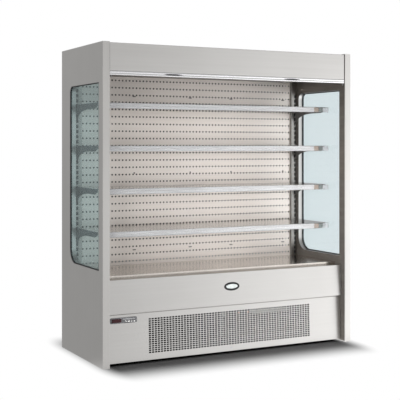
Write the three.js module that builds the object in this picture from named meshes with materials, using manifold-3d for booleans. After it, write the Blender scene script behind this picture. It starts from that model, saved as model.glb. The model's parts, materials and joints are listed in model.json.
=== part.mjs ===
// Open multideck display fridge. Millimetres, X to the right, Y to the back, Z up.
// The origin is the middle of the footprint on the floor, and the open front faces -Y.
import * as THREE from "three";
import { mergeGeometries, mergeVertices } from "three/addons/utils/BufferGeometryUtils.js";
import Module from "manifold-3d";

const wasm = await Module();
wasm.setup();

// ---------------------------------------------------------------- driving dimensions

// Cabinet
const WIDTH = 1825;
const DEPTH = 735;
const HEIGHT = 1980;
const END_PANEL = 46; // thickness of the insulated end panels
const POST_RADIUS = 5; // rounding of the end panels' front edges
const PANEL_FOOT = 4; // end panels stop this far above the floor
const BACK_PANEL = 45;
const ROOF_PANEL = 40;
const ROOF_DROP = 5; // roof and fascia lie this far below the end panels' tops
const SHEET = 2; // folded sheet steel
const CLEARANCE = 0.3; // between pieces that touch
const SIDE_GAP = 2.5; // joint between front covers and end panels

// Windows in the end panels
const WINDOW_FRONT = 65;
const WINDOW_REAR_MARGIN = 160; // from the window's rear edge to the cabinet's back
const WINDOW_RISE = 43; // sill above the display deck
const WINDOW_HEAD_DROP = 69; // head below the fascia's lower edge
const WINDOW_LOW_RADIUS = 90;
const WINDOW_HIGH_RADIUS = 42;
const SEAL_WALL = 3;
const SEAL_FACE = 8;
const SEAL_DEPTH = 18;
const SEAL_RECESS = 1;
const GLASS = 8;
const GLASS_RECESS = 5;

// Canopy
const FASCIA_SETBACK = 5;
const FASCIA_HEIGHT = 171;
const FASCIA_HEM = 5;
const ROOF_SETBACK = 40;
const CEILING_RISE = 12; // above the fascia's lower edge
const OUTLET_SETBACK = 62;
const OUTLET_DEPTH = 70;
const OUTLET_HEIGHT = 30;
const OUTLET_WALL = 4;
const OUTLET_COLUMNS = 12;
const OUTLET_ROWS = 2;
const CEILING_LIP = 20;
const LAMP_LENGTH = 1500;
const LAMP_WIDTH = 36;
const LAMP_HEIGHT = 12;
const LAMP_SETBACK = 150;

// Night blind
const BAR_SETBACK = 4;
const BAR_DEPTH = 20;
const BAR_HEIGHT = 26;
const BAR_GROOVE = 2;
const BAR_END_GAP = 2;
const PULL_LENGTH = 125;
const PULL_HEIGHT = 10;
const PULL_DEPTH = 7;
const PULL_OFFSET = 440;
const HOOK_WIDTH = 7;
const HOOK_DROP_LENGTH = 15;
const HOOK_INSET = 6;
const CLOTH = 0.7;
const CLOTH_SETBACK = 13;
const CLOTH_MARGIN = 15;
const ROLLER_RADIUS = 22;
const ROLLER_MARGIN = 10;
const ROLLER_HEIGHT = 46; // roller's axis above the fascia's lower edge
const SHAFT_RADIUS = 5;
const SHAFT_ENTRY = 8;

// Air duct and uprights
const DUCT_SPACE = 75; // between the duct panel's face and the back panel
const UPRIGHT_LEAD = 15; // the uprights stand this far in front of the duct panel
const UPRIGHT_WIDTH = 49;
const UPRIGHT_DEPTH = 40;
const UPRIGHT_WALL = 2.5;
const DUCT_RETURN = 12;
const DUCT_COLUMNS = 15;
const DUCT_ROWS = 6;
const DUCT_HOLE = 14;
const SLOT_INSET = 12.5; // middle of the slots from the inside of the end panel
const SLOT_PITCH = 67.5;
const SLOT_HEIGHT = 22;
const SLOT_PLAY = 0.8;
const FIRST_SLOT_RISE = 37.5; // top edge of the lowest slot above the display deck

// Shelves and their brackets
const SHELF_COUNT = 4;
const SHELF_RISE = 25; // shelf top above that slot's top edge
const SHELF_SETBACK = 183;
const SHELF_REAR_GAP = 20; // shelf's rear edge in front of the uprights
const SHELF_END_GAP = 7;
const SHELF_LIP_INSET = 79; // the lip ends this far from the inside of the end panel
const SHELF_SHEET = 1.5;
const SHELF_REAR_FLANGE = 22;
const SHELF_TUCK = 0.5; // overlap of the sheets that are fused into a shelf
const STRIP_HEIGHT = 38;
const STRIP_THICKNESS = 3;
const BRACKET = 3;
const BRACKET_NOSE = 222;
const BRACKET_NOSE_HEIGHT = 30;
const BRACKET_ARM_HEIGHT = 50;
const BRACKET_ARM_START = 262;
const BRACKET_GUSSET = 255; // length of the gusset in front of the upright
const BRACKET_FOOT = 12.5; // lowest point of the gusset below the lower slot's top edge
const GUSSET_STEPS = 8;
const HOOK_NECK = 13;
const HOOK_LENGTH = 8;
const HOOK_THICKNESS = 3.5;

// Tub, deck and front covers
const TUB_RISE = 3; // tub's underside above the apron's lower edge
const TUB_WALL = 30;
const TUB_SETBACK = 62;
const TUB_RIM_DROP = 23; // rim below the apron's top edge
const DECK_RISE = 17; // deck above the apron's top edge
const DECK_SETBACK = 110;
const DECK_SHEET = 1.5;
const DECK_END_GAP = 3;
const DECK_LEDGE = 30;
const DECK_REAR_GAP = 1.3;
const APRON_TOP = 528;
const APRON_BOTTOM = 319;
const APRON_TOP_SETBACK = 46;
const APRON_BOTTOM_SETBACK = 34;
const APRON_HEM = 4;
const RETURN_DEPTH = 75;
const RETURN_COLUMNS = 11;
const RETURN_ROWS = 2;
const RETURN_BAR = 8;
const DRAIN_RADIUS = 15;
const DRAIN_BORE = 10;
const DRAIN_LENGTH = 20;
const DRAIN_INSET = 346.5; // from the inside of the right end panel
const DRAIN_SETBACK = 400;

// Hinged grille panel
const ROD_RADIUS = 4;
const COVER_GAP = 3; // between the apron and the grille panel
const ROD_PLAY = 0.4;
const ROD_ENTRY = 6;
const PANEL_TOP_SETBACK = 55;
const PANEL_BOTTOM_SETBACK = 46;
const PANEL_BOTTOM = 18;
const PANEL_RETURN = 16;
const GRILLE_LEFT = 324; // from the cabinet's left side
const GRILLE_RIGHT = 301; // from the cabinet's right side
const GRILLE_BOTTOM = 58;
const GRILLE_DROP = 31.6; // top of the slots below the hinge rod
const GRILLE_COLUMNS = 20;
const GRILLE_ROWS = 6;
const GRILLE_OPEN = [0.72, 0.5]; // slot length and height as shares of their pitch

// Controller in the grille panel
const BEZEL_LEFT = 69; // from the cabinet's left side
const BEZEL_WIDTH = 178;
const BEZEL_DROP = 13.6; // bezel's top edge below the hinge rod
const BEZEL_HEIGHT = 36;
const BEZEL_FRAME = 3;
const BEZEL_BORDER = 5;
const BEZEL_BODY = 40;
const DISPLAY_LEFT = 9;
const DISPLAY_WIDTH = 64;
const DISPLAY_HEIGHT = 24;
const DISPLAY_THICKNESS = 2;
const DISPLAY_SUNK = 0.4; // lens face behind the bezel's face
const KEY_COUNT = 4;
const KEY_PITCH = 18;
const KEY_WIDTH = 11;
const KEY_HEIGHT = 6.4;
const KEY_FIRST = 106; // middle of the first key from the bezel's left edge
const KEY_RISE = 10; // middle of the keys above the bezel's lower edge
const KEY_PLAY = 0.4;
const KEY_TRAVEL = 1.2;
const KEY_PROUD = 1;
const KEY_LENGTH = 6;

// Chassis and castors
const BASE_BOTTOM = 78;
const BASE_HEIGHT = 30;
const BASE_SETBACK = 70;
const REAR_SHEET = 2;
const CASTOR_RADIUS = 25;
const CASTOR_WIDTH = 20;
const CASTOR_INSET = 95;
const CASTOR_FRONT = 135;
const CASTOR_REAR_MARGIN = 80; // rear castors' axes from the cabinet's back
const CASTOR_TRAIL = 16;
const CASTOR_PLATE = 24;
const CASTOR_CHEEK = 3;
const CASTOR_GAP = 1;
const CHEEK_ROOT = 0.75; // half width of a cheek at the plate, as a share of the plate's radius
const AXLE_RADIUS = 4;
const AXLE_PLAY = 0.6;
const WHEEL_SIDES = 16;

// Refrigeration parts
const CONDENSER_MIDDLE = -280;
const CONDENSER_WIDTH = 480;
const CONDENSER_HEIGHT = 205;
const CONDENSER_DEPTH = 60;
const CONDENSER_SETBACK = 110;
const CONDENSER_FINS = 12;
const CONDENSER_FAN = 92;
const EVAPORATOR_WIDTH = 1300;
const EVAPORATOR_HEIGHT = 140;
const EVAPORATOR_DEPTH = 150;
const EVAPORATOR_SETBACK = 330;
const EVAPORATOR_FINS = 15;
const EVAPORATOR_FAN = 66;
const EVAPORATOR_FAN_OFFSET = 340;
const FAN_PANEL_SETBACK = 240;
const FIN = 3;
const TUBE_RADIUS = 6;
const TUBE_ROWS = 3;
const BEND_STEPS = 5;
const COIL_CORE = 0.3; // fin depth in front of and behind the core, as a share of the coil's depth
const FAN_BLADES = 5;
const FAN_DEPTH = 26;
const FAN_PITCH = 26; // degrees
const FAN_END_GAP = 2;
const BLADE = 2;
const FAN_RUNNING_GAP = 4;
const HUB_SHARE = 0.3; // hub radius as a share of the fan's radius
const BLADE_ROOT = 0.7; // where the blades start inside the hub, as a share of its radius
const BLADE_LEAD = 0.35; // height of a blade's root to either side, as shares of the same
const BLADE_TRAIL = 0.45;
const BLADE_SWEEP = 0.7; // sweep of the trailing tip as a share of the leading tip's
const WIDEST_CHORD = 0.7; // limit of a blade's chord as a share of the fan's radius
const MOTOR_LENGTH = 46;
const ARM_ROOT = 0.8; // where the arms start inside the motor, as a share of its radius
const MOTOR_ARMS = [90, 210, 330]; // degrees
const ARM_WIDTH = 6;
const ARM_THICKNESS = 4;
const COMPRESSOR_GAP = 60; // between its foot plate and the condensate tray
const COMPRESSOR_SETBACK = 400;
const COMPRESSOR_RADIUS = 82;
const COMPRESSOR_HEIGHT = 195;
const COMPRESSOR_FOOT = 6;
const COMPRESSOR_SIDES = 16;
const WELD_FLANGE = 4;
const DOME = 0.5; // height of the dome as a share of the shell's radius
const SHELL_BASE = 0.8; // radius of the shell's underside, as a share
const SHELL_CORNER = 0.2; // height of the rounding above it, as a share
const STUB_SPREAD = 0.4; // pipe stubs to either side of the middle, as a share
const STUB_RISE = 0.66; // their height as a share of the compressor's
const FOOT_REACH = 18;
const STUB_LENGTH = 26;
const ELECTRIC_LEFT = 75; // from the cabinet's left side
const ELECTRIC_SIZE = [190, 150, 150];
const ELECTRIC_SETBACK = 130;
const ELECTRIC_LID = 38;
const LID_GROOVE = 2;
const GLAND_RADIUS = 10;
const GLAND_LENGTH = 18;
const GLAND_INSET = 50;
const TRAY_SIZE = [220, 240, 48];
const TRAY_WALL = 2;
const LOUVRE_COLUMNS = 5;
const LOUVRE_ROWS = 3;
const LOUVRE_HEIGHT = 24;
const LOUVRE_BAR = 40;
const LOUVRE_MARGIN = 15;

// ---------------------------------------------------------------- derived places

const FRONT = -DEPTH / 2;
const BACK = DEPTH / 2;
const INNER = WIDTH / 2 - END_PANEL; // inside face of the end panels, from the middle
const FIT = INNER - CLEARANCE; // half length of a piece that fits between them
const CANOPY_TOP = HEIGHT - ROOF_DROP;
const ROOF_BOTTOM = CANOPY_TOP - ROOF_PANEL;
const BACK_FACE = BACK - BACK_PANEL;
const FASCIA_BOTTOM = CANOPY_TOP - FASCIA_HEIGHT;
const CEILING = FASCIA_BOTTOM + CEILING_RISE;
const WINDOW_HEAD = FASCIA_BOTTOM - WINDOW_HEAD_DROP;
const WINDOW_REAR = DEPTH - WINDOW_REAR_MARGIN;
const DUCT_SETBACK = DEPTH - BACK_PANEL - DUCT_SPACE;
const UPRIGHT_SETBACK = DUCT_SETBACK - UPRIGHT_LEAD;
const BAR_TOP = FASCIA_BOTTOM - CLEARANCE;
const BAR_BOTTOM = BAR_TOP - BAR_HEIGHT;
const ROLLER_SETBACK = CLOTH_SETBACK + CLOTH + CLEARANCE + ROLLER_RADIUS;
const ROLLER_AXIS = FASCIA_BOTTOM + ROLLER_HEIGHT;
const TUB_BOTTOM = APRON_BOTTOM + TUB_RISE;
const TUB_FLOOR = TUB_BOTTOM + TUB_WALL;
const TUB_RIM = APRON_TOP - TUB_RIM_DROP;
const BASE_FLOOR = BASE_BOTTOM + SHEET;
const DECK_SEAT = APRON_TOP + CLEARANCE;
const DECK_TOP = APRON_TOP + DECK_RISE;
const WINDOW_SILL = DECK_TOP + WINDOW_RISE;
const FIRST_SLOT = DECK_TOP + FIRST_SLOT_RISE;
const SLOT_COUNT = Math.floor((CEILING - FIRST_SLOT) / SLOT_PITCH) + 1;
const SHELF_STEP = Math.floor((SLOT_COUNT + 1) / (SHELF_COUNT + 1)); // slots from shelf to shelf
const SHELF_SLOTS = Array.from({ length: SHELF_COUNT }, (_, i) => (i + 1) * SHELF_STEP - 1);
const SHELF_DEPTH = UPRIGHT_SETBACK - SHELF_REAR_GAP - SHELF_SETBACK;
const BRACKET_DROP = SHELF_RISE + SLOT_PITCH + BRACKET_FOOT;
const DRAIN_OFFSET = INNER - DRAIN_INSET;
const COMPRESSOR_REACH = COMPRESSOR_RADIUS + FOOT_REACH;
const COMPRESSOR_OFFSET = DRAIN_OFFSET - TRAY_SIZE[0] / 2 - COMPRESSOR_GAP - COMPRESSOR_REACH;
const DUCT_HALF = FIT - UPRIGHT_WIDTH - CLEARANCE;
const SLOT_X = INNER - SLOT_INSET;
const CURL_RADIUS = ROD_RADIUS + ROD_PLAY + SHEET;
const ROD_SETBACK = PANEL_TOP_SETBACK + CURL_RADIUS;
const ROD_HEIGHT = APRON_BOTTOM - COVER_GAP - CURL_RADIUS;
const GRILLE_WIDTH = WIDTH - GRILLE_LEFT - GRILLE_RIGHT;
const GRILLE_HEIGHT = ROD_HEIGHT - GRILLE_DROP - GRILLE_BOTTOM;
const BEZEL_BOTTOM = ROD_HEIGHT - BEZEL_DROP - BEZEL_HEIGHT;
const CASTOR_REAR = DEPTH - CASTOR_REAR_MARGIN;
const COVER_HALF = INNER - SIDE_GAP;
const LEFT = -WIDTH / 2;

const setback = (s) => FRONT + s;
const slotTop = (k) => FIRST_SLOT + k * SLOT_PITCH;
const shelfTop = (k) => slotTop(k) + SHELF_RISE;

// ---------------------------------------------------------------- materials

const paint = (color, roughness, metalness) =>
  new THREE.MeshStandardMaterial({ color, roughness, metalness });
const satinSteel = () => paint(0xc4c2be, 0.38, 0.9);
const brightSteel = () => paint(0xdcdcdc, 0.22, 1.0);
const galvanised = () => paint(0xa9adb0, 0.45, 0.9);
const linerSteel = () => paint(0xd8cec6, 0.4, 0.3);
const darkMetal = () => paint(0x2c2d2e, 0.55, 0.6);
const blackRubber = () => paint(0x151617, 0.85, 0.0);
const darkPlastic = () => paint(0x3c3d40, 0.5, 0.0);
const whitePlastic = () => paint(0xf0f0ee, 0.4, 0.0);
const tintedGlass = () => paint(0xa8c4c6, 0.05, 0.0);
const lens = () => paint(0x3a1216, 0.1, 0.0);
const cloth = () => paint(0xd9dadb, 0.9, 0.0);
const copper = () => paint(0xb06a44, 0.35, 1.0);

// ---------------------------------------------------------------- shape helpers

const X = new THREE.Vector3(1, 0, 0);
const Y = new THREE.Vector3(0, 1, 0);
const Z = new THREE.Vector3(0, 0, 1);
const BASIS = {
  x: new THREE.Matrix4().makeBasis(Y, Z, X),
  y: new THREE.Matrix4().makeBasis(X, Z, Y.clone().negate()),
  z: new THREE.Matrix4(),
};

// A box from its lowest to its highest corner.
function box(x0, x1, y0, y1, z0, z1) {
  const geometry = new THREE.BoxGeometry(x1 - x0, y1 - y0, z1 - z0);
  return geometry.translate((x0 + x1) / 2, (y0 + y1) / 2, (z0 + z1) / 2);
}

// A shape extruded along an axis. It is drawn in (y, z) for x, in (x, z) for y and in (x, y) for z.
function extrude(shape, axis, from, to, curveSegments = 6) {
  const options = { depth: to - from, bevelEnabled: false, curveSegments };
  const geometry = new THREE.ExtrudeGeometry(shape, options);
  geometry.translate(0, 0, axis === "y" ? -to : from);
  return geometry.applyMatrix4(BASIS[axis]);
}

// A round bar along an axis, through the point given by the other two coordinates.
function bar(axis, a, b, radius, from, to, sides = 16) {
  return extrude(circle(a, b, radius, sides), axis, from, to);
}

// A closed outline through points [a, b].
const outline = (points) => new THREE.Shape(points.map(([a, b]) => new THREE.Vector2(a, b)));

// Points of an arc about (a, b), with angles in degrees.
function arc(a, b, radius, start, end, steps) {
  return Array.from({ length: steps + 1 }, (_, i) => {
    const angle = THREE.MathUtils.degToRad(start + ((end - start) * i) / steps);
    return [a + radius * Math.cos(angle), b + radius * Math.sin(angle)];
  });
}

const circle = (a, b, radius, sides = 12) =>
  outline(arc(a, b, radius, 0, 360, sides).slice(0, -1));

// Outline of a sheet folded along a path, with its thickness on the left of the path.
function folded(path, thickness) {
  const near = path.map(([a, b]) => new THREE.Vector2(a, b));
  const normals = near.slice(1).map((p, i) => {
    const step = p.clone().sub(near[i]).normalize();
    return new THREE.Vector2(-step.y, step.x);
  });
  const far = near.map((p, i) => {
    const before = normals[Math.max(i - 1, 0)];
    const after = normals[Math.min(i, normals.length - 1)];
    const middle = before.clone().add(after).normalize();
    return p.clone().addScaledVector(middle, thickness / middle.dot(before));
  });
  return new THREE.Shape([...near, ...far.reverse()]);
}

// A grid of rectangular prisms along an axis, to cut holes with. The grid fills a0..a1 by b0..b1,
// and each hole is centred in its own cell.
function holeGrid(axis, [a0, a1, columns, width], [b0, b1, rows, height], from, to) {
  const pitchA = (a1 - a0) / columns;
  const pitchB = (b1 - b0) / rows;
  const prisms = [];
  for (let i = 0; i < columns; i++)
    for (let j = 0; j < rows; j++) {
      const a = a0 + (i + 0.5) * pitchA - width / 2;
      const b = b0 + (j + 0.5) * pitchB - height / 2;
      prisms.push(extrude(rectangle(a, a + width, b, b + height), axis, from, to));
    }
  return mergeGeometries(prisms);
}

const rectangle = (a0, a1, b0, b1) => outline([[a0, b0], [a1, b0], [a1, b1], [a0, b1]]);

// A geometry as a manifold solid, and back again.
function toSolid(geometry) {
  const bare = geometry.index ? geometry.toNonIndexed() : geometry.clone();
  bare.deleteAttribute("normal");
  bare.deleteAttribute("uv");
  const merged = mergeVertices(bare, 1e-4);
  const mesh = new wasm.Mesh({
    numProp: 3,
    vertProperties: merged.attributes.position.array,
    triVerts: new Uint32Array(merged.index.array),
  });
  return new wasm.Manifold(mesh);
}

function toGeometry(solid) {
  const mesh = solid.getMesh();
  const geometry = new THREE.BufferGeometry();
  geometry.setAttribute("position", new THREE.BufferAttribute(mesh.vertProperties, 3));
  geometry.setIndex(new THREE.BufferAttribute(mesh.triVerts, 1));
  return geometry;
}

// Geometries joined into one, and a geometry with others cut out of it.
const join = (...parts) =>
  toGeometry(parts.map(toSolid).reduce((whole, part) => whole.add(part)));
const cut = (body, ...tools) =>
  toGeometry(tools.map(toSolid).reduce((whole, tool) => whole.subtract(tool), toSolid(body)));

function piece(name, geometry, material) {
  geometry.computeVertexNormals();
  const mesh = new THREE.Mesh(geometry, material);
  mesh.name = name;
  return mesh;
}

// ---------------------------------------------------------------- end panels and windows

// The window's outline in (y, z), drawn in by an inset, with round corners at the rear.
function windowOutline(inset) {
  const front = setback(WINDOW_FRONT) + inset;
  const rear = setback(WINDOW_REAR) - inset;
  const sill = WINDOW_SILL + inset;
  const head = WINDOW_HEAD - inset;
  const low = WINDOW_LOW_RADIUS - inset;
  const high = WINDOW_HIGH_RADIUS - inset;
  return outline([
    [front, sill],
    ...arc(rear - low, sill + low, low, -90, 0, 6),
    ...arc(rear - high, head - high, high, 0, 90, 4),
    [front, head],
  ]);
}

// Extrudes a (y, z) shape inwards from a side's outer face, between two depths.
function fromSide(side, shape, near, far) {
  const a = side * (WIDTH / 2 - near);
  const b = side * (WIDTH / 2 - far);
  return extrude(shape, "x", Math.min(a, b), Math.max(a, b));
}

function endPanel(side) {
  const outer = WIDTH / 2;
  const r = POST_RADIUS;
  const plan = outline(
    [
      ...arc(INNER + r, FRONT + r, r, 180, 270, 3),
      ...arc(outer - r, FRONT + r, r, 270, 360, 3),
      [outer, BACK],
      [INNER, BACK],
    ].map(([x, y]) => [side * x, y]),
  );
  const rodHole = fromSide(side, circle(setback(ROD_SETBACK), ROD_HEIGHT, ROD_RADIUS + CLEARANCE),
    END_PANEL - ROD_ENTRY - CLEARANCE, END_PANEL + 1);
  const shaftHole = fromSide(side, circle(setback(ROLLER_SETBACK), ROLLER_AXIS,
    SHAFT_RADIUS + CLEARANCE), END_PANEL - SHAFT_ENTRY - CLEARANCE, END_PANEL + 1);
  const opening = fromSide(side, windowOutline(0), -1, END_PANEL + 1);
  return cut(extrude(plan, "z", PANEL_FOOT, HEIGHT), opening, rodHole, shaftHole);
}

function windowSeal(side) {
  const ring = fromSide(side, windowOutline(CLEARANCE), SEAL_RECESS, SEAL_RECESS + SEAL_DEPTH);
  const sight = fromSide(side, windowOutline(SEAL_FACE), -1, SEAL_RECESS + SEAL_DEPTH + 1);
  const groove = fromSide(side, windowOutline(SEAL_WALL), GLASS_RECESS - CLEARANCE,
    GLASS_RECESS + GLASS + CLEARANCE);
  return cut(ring, sight, groove);
}

const windowGlass = (side) =>
  fromSide(side, windowOutline(SEAL_WALL + CLEARANCE), GLASS_RECESS, GLASS_RECESS + GLASS);

// ---------------------------------------------------------------- canopy

function canopyFascia() {
  const path = [
    [setback(ROOF_SETBACK) - CLEARANCE, CANOPY_TOP],
    [setback(FASCIA_SETBACK), CANOPY_TOP],
    [setback(FASCIA_SETBACK), FASCIA_BOTTOM],
    [setback(FASCIA_SETBACK) + FASCIA_HEM, FASCIA_BOTTOM],
  ];
  return extrude(folded(path, SHEET), "x", -COVER_HALF, COVER_HALF);
}

function airOutlet() {
  const y0 = setback(OUTLET_SETBACK);
  const y1 = y0 + OUTLET_DEPTH;
  const top = CEILING + OUTLET_HEIGHT;
  const cellLength = (2 * FIT) / OUTLET_COLUMNS - OUTLET_WALL;
  const cellDepth = OUTLET_DEPTH / OUTLET_ROWS - OUTLET_WALL;
  const cells = holeGrid("z", [-FIT, FIT, OUTLET_COLUMNS, cellLength],
    [y0, y1, OUTLET_ROWS, cellDepth], CEILING - 1, top + 1);
  return cut(box(-FIT, FIT, y0, y1, CEILING, top), cells);
}

function ceilingPanel() {
  const front = setback(OUTLET_SETBACK) + OUTLET_DEPTH + CLEARANCE;
  const path = [
    [front, CEILING + CEILING_LIP],
    [front, CEILING],
    [setback(DUCT_SETBACK) - CLEARANCE, CEILING],
  ];
  return extrude(folded(path, SHEET), "x", -FIT, FIT);
}

// A lamp batten with a rounded diffuser, under the ceiling.
function canopyLamp() {
  const middle = setback(LAMP_SETBACK) + LAMP_WIDTH / 2;
  const top = CEILING - CLEARANCE;
  const radius = LAMP_WIDTH / 2;
  const profile = outline([
    [middle + radius, top],
    [middle - radius, top],
    ...arc(middle, top - LAMP_HEIGHT + radius, radius, 200, 340, 6),
  ]);
  return extrude(profile, "x", -LAMP_LENGTH / 2, LAMP_LENGTH / 2);
}

// ---------------------------------------------------------------- night blind

function blindBar() {
  const front = setback(BAR_SETBACK);
  const rear = front + BAR_DEPTH;
  const middle = (BAR_TOP + BAR_BOTTOM) / 2;
  const half = BAR_GROOVE / 2;
  const profile = outline([
    [front + half, BAR_BOTTOM],
    [rear, BAR_BOTTOM],
    [rear, BAR_TOP],
    [front + half, BAR_TOP],
    [front, BAR_TOP - half],
    [front, middle + half],
    [front + half, middle],
    [front, middle - half],
    [front, BAR_BOTTOM + half],
  ]);
  const end = INNER - BAR_END_GAP;
  const pulls = [-1, 1].map((side) => fingerPull(side * PULL_OFFSET, middle));
  const hooks = [-1, 1].map((side) => {
    const x = side * (end - HOOK_INSET);
    return box(Math.min(x, x - side * HOOK_WIDTH), Math.max(x, x - side * HOOK_WIDTH),
      front + half, front + half + SHEET * 2, BAR_BOTTOM - HOOK_DROP_LENGTH, BAR_BOTTOM + half);
  });
  return join(cut(extrude(profile, "x", -end, end), ...pulls), ...hooks);
}

// An oval recess to pull the bar down by.
function fingerPull(x, z) {
  const shape = new THREE.Shape();
  shape.absellipse(x, z, PULL_LENGTH / 2, PULL_HEIGHT / 2, 0, Math.PI * 2);
  return extrude(shape, "y", setback(BAR_SETBACK) - 1, setback(BAR_SETBACK) + PULL_DEPTH, 14);
}

function blindRoller() {
  const y = setback(ROLLER_SETBACK);
  const half = INNER - ROLLER_MARGIN;
  const end = INNER + SHAFT_ENTRY;
  return join(
    bar("x", y, ROLLER_AXIS, ROLLER_RADIUS, -half, half, 16),
    bar("x", y, ROLLER_AXIS, SHAFT_RADIUS, -end, end, 10),
  );
}

function blindCloth() {
  const y = setback(CLOTH_SETBACK);
  const half = INNER - CLOTH_MARGIN;
  return box(-half, half, y, y + CLOTH, BAR_TOP + CLEARANCE, ROLLER_AXIS);
}

// ---------------------------------------------------------------- air duct and uprights

function ductPanel() {
  const y = setback(DUCT_SETBACK);
  const bottom = APRON_TOP - SHEET;
  const top = CEILING - CLEARANCE;
  const plate = box(-DUCT_HALF, DUCT_HALF, y, y + SHEET, bottom, top);
  const holes = holeGrid("y", [-DUCT_HALF, DUCT_HALF, DUCT_COLUMNS, DUCT_HOLE],
    [DECK_TOP, top, DUCT_ROWS, DUCT_HOLE], y - 1, y + SHEET + 1);
  const returns = [-1, 1].map((side) => {
    const x = side * DUCT_HALF;
    const inner = x - side * SHEET;
    return box(Math.min(x, inner), Math.max(x, inner), y + SHEET / 2, y + DUCT_RETURN, bottom, top);
  });
  const ledge = box(-DUCT_HALF, DUCT_HALF, y - DECK_LEDGE, y + SHEET / 2, bottom, APRON_TOP);
  return join(cut(plate, holes), ledge, ...returns);
}

function upright(side) {
  const y0 = setback(UPRIGHT_SETBACK);
  const y1 = y0 + UPRIGHT_DEPTH;
  const inner = FIT - UPRIGHT_WIDTH;
  const w = UPRIGHT_WALL;
  const plan = outline(
    [
      [inner, y0], [FIT, y0], [FIT, y1], [FIT - w, y1],
      [FIT - w, y0 + w], [inner + w, y0 + w], [inner + w, y1], [inner, y1],
    ].map(([x, y]) => [side * x, y]),
  );
  const half = BRACKET / 2 + SLOT_PLAY;
  const slots = Array.from({ length: SLOT_COUNT }, (_, k) =>
    box(side * SLOT_X - half, side * SLOT_X + half, y0 - 1, y0 + w + 1,
      slotTop(k) - SLOT_HEIGHT, slotTop(k)),
  );
  return cut(extrude(plan, "z", TUB_FLOOR + CLEARANCE, CEILING - CLEARANCE), ...slots);
}

// ---------------------------------------------------------------- shelves and brackets

// The shelf pan with the ticket strip that is clipped to its lip.
function shelf(index) {
  const top = shelfTop(index);
  const front = setback(SHELF_SETBACK);
  const rear = front + SHELF_DEPTH;
  const lip = front + STRIP_THICKNESS;
  const end = INNER - SHELF_END_GAP;
  const pan = box(-end, end, front + 1, rear, top - SHELF_SHEET, top);
  const flangeEnd = SLOT_X - BRACKET / 2 - SLOT_PLAY;
  const flange = box(-flangeEnd, flangeEnd, rear - SHELF_SHEET, rear, top - SHELF_REAR_FLANGE,
    top - SHELF_TUCK);
  const lipEnd = INNER - SHELF_LIP_INSET;
  const lipSheet = box(-lipEnd, lipEnd, lip - SHELF_TUCK, lip + SHELF_SHEET, top - STRIP_HEIGHT,
    top - SHELF_TUCK);
  const strip = box(-end, end, front, lip, top - STRIP_HEIGHT, top);
  return join(pan, flange, lipSheet, strip);
}

// A bracket plate with a curved gusset and two hooks that drop into the upright's slots.
function bracket(side, index) {
  const top = shelfTop(index) - SHELF_SHEET - CLEARANCE;
  const nose = setback(BRACKET_NOSE);
  const rear = setback(UPRIGHT_SETBACK) - CLEARANCE;
  const low = shelfTop(index) - BRACKET_DROP;
  const armLow = top - BRACKET_ARM_HEIGHT;
  const gusset = setback(UPRIGHT_SETBACK - BRACKET_GUSSET);
  const reach = rear - gusset;
  const fall = armLow - low;
  const curve = Array.from({ length: GUSSET_STEPS + 1 }, (_, i) => {
    const angle = (Math.PI / 2) * (i / GUSSET_STEPS);
    return [gusset + reach * Math.sin(angle), low + fall * Math.cos(angle)];
  });
  const profile = outline([
    [rear, top],
    [nose, top],
    [nose, top - BRACKET_NOSE_HEIGHT],
    [setback(BRACKET_ARM_START), armLow],
    ...curve,
  ]);
  const x = side * SLOT_X;
  const plate = extrude(profile, "x", x - BRACKET / 2, x + BRACKET / 2);
  const hooks = [index, index - 1].map((k) => hook(x, slotTop(k) - SLOT_HEIGHT));
  return join(plate, ...hooks);
}

// One hook, resting on the lower edge of a slot and reaching down behind the web.
function hook(x, slotBottom) {
  const start = setback(UPRIGHT_SETBACK) - 1;
  const behind = setback(UPRIGHT_SETBACK) + UPRIGHT_WALL + CLEARANCE;
  const end = behind + HOOK_THICKNESS;
  const seat = slotBottom + CLEARANCE;
  const profile = outline([
    [start, seat],
    [behind, seat],
    [behind, slotBottom - HOOK_LENGTH],
    [end, slotBottom - HOOK_LENGTH],
    [end, seat + HOOK_NECK],
    [start, seat + HOOK_NECK],
  ]);
  return extrude(profile, "x", x - BRACKET / 2, x + BRACKET / 2);
}

// ---------------------------------------------------------------- tub, deck and apron

function evaporatorTub() {
  const front = setback(TUB_SETBACK);
  const rear = BACK_FACE - CLEARANCE;
  const profile = outline([
    [front, TUB_BOTTOM],
    [rear, TUB_BOTTOM],
    [rear, TUB_FLOOR],
    [front + TUB_WALL, TUB_FLOOR],
    [front + TUB_WALL, TUB_RIM],
    [front, TUB_RIM],
  ]);
  const y = setback(DRAIN_SETBACK);
  const low = TUB_BOTTOM - DRAIN_LENGTH;
  const spigot = bar("z", DRAIN_OFFSET, y, DRAIN_RADIUS, low, TUB_BOTTOM + 1, 8);
  const bore = bar("z", DRAIN_OFFSET, y, DRAIN_BORE, low - 1, TUB_FLOOR + 1, 8);
  return cut(join(extrude(profile, "x", -FIT, FIT), spigot), bore);
}

// A pan of sheet steel, open below, that lies on the return grille and the duct panel's ledge.
function displayDeck() {
  const y0 = setback(DECK_SETBACK);
  const y1 = setback(UPRIGHT_SETBACK) - DECK_REAR_GAP;
  const x = INNER - DECK_END_GAP;
  const t = DECK_SHEET;
  const outer = box(-x, x, y0, y1, DECK_SEAT, DECK_TOP);
  return cut(outer, box(t - x, x - t, y0 + t, y1 - t, DECK_SEAT - 1, DECK_TOP - t));
}

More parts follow.
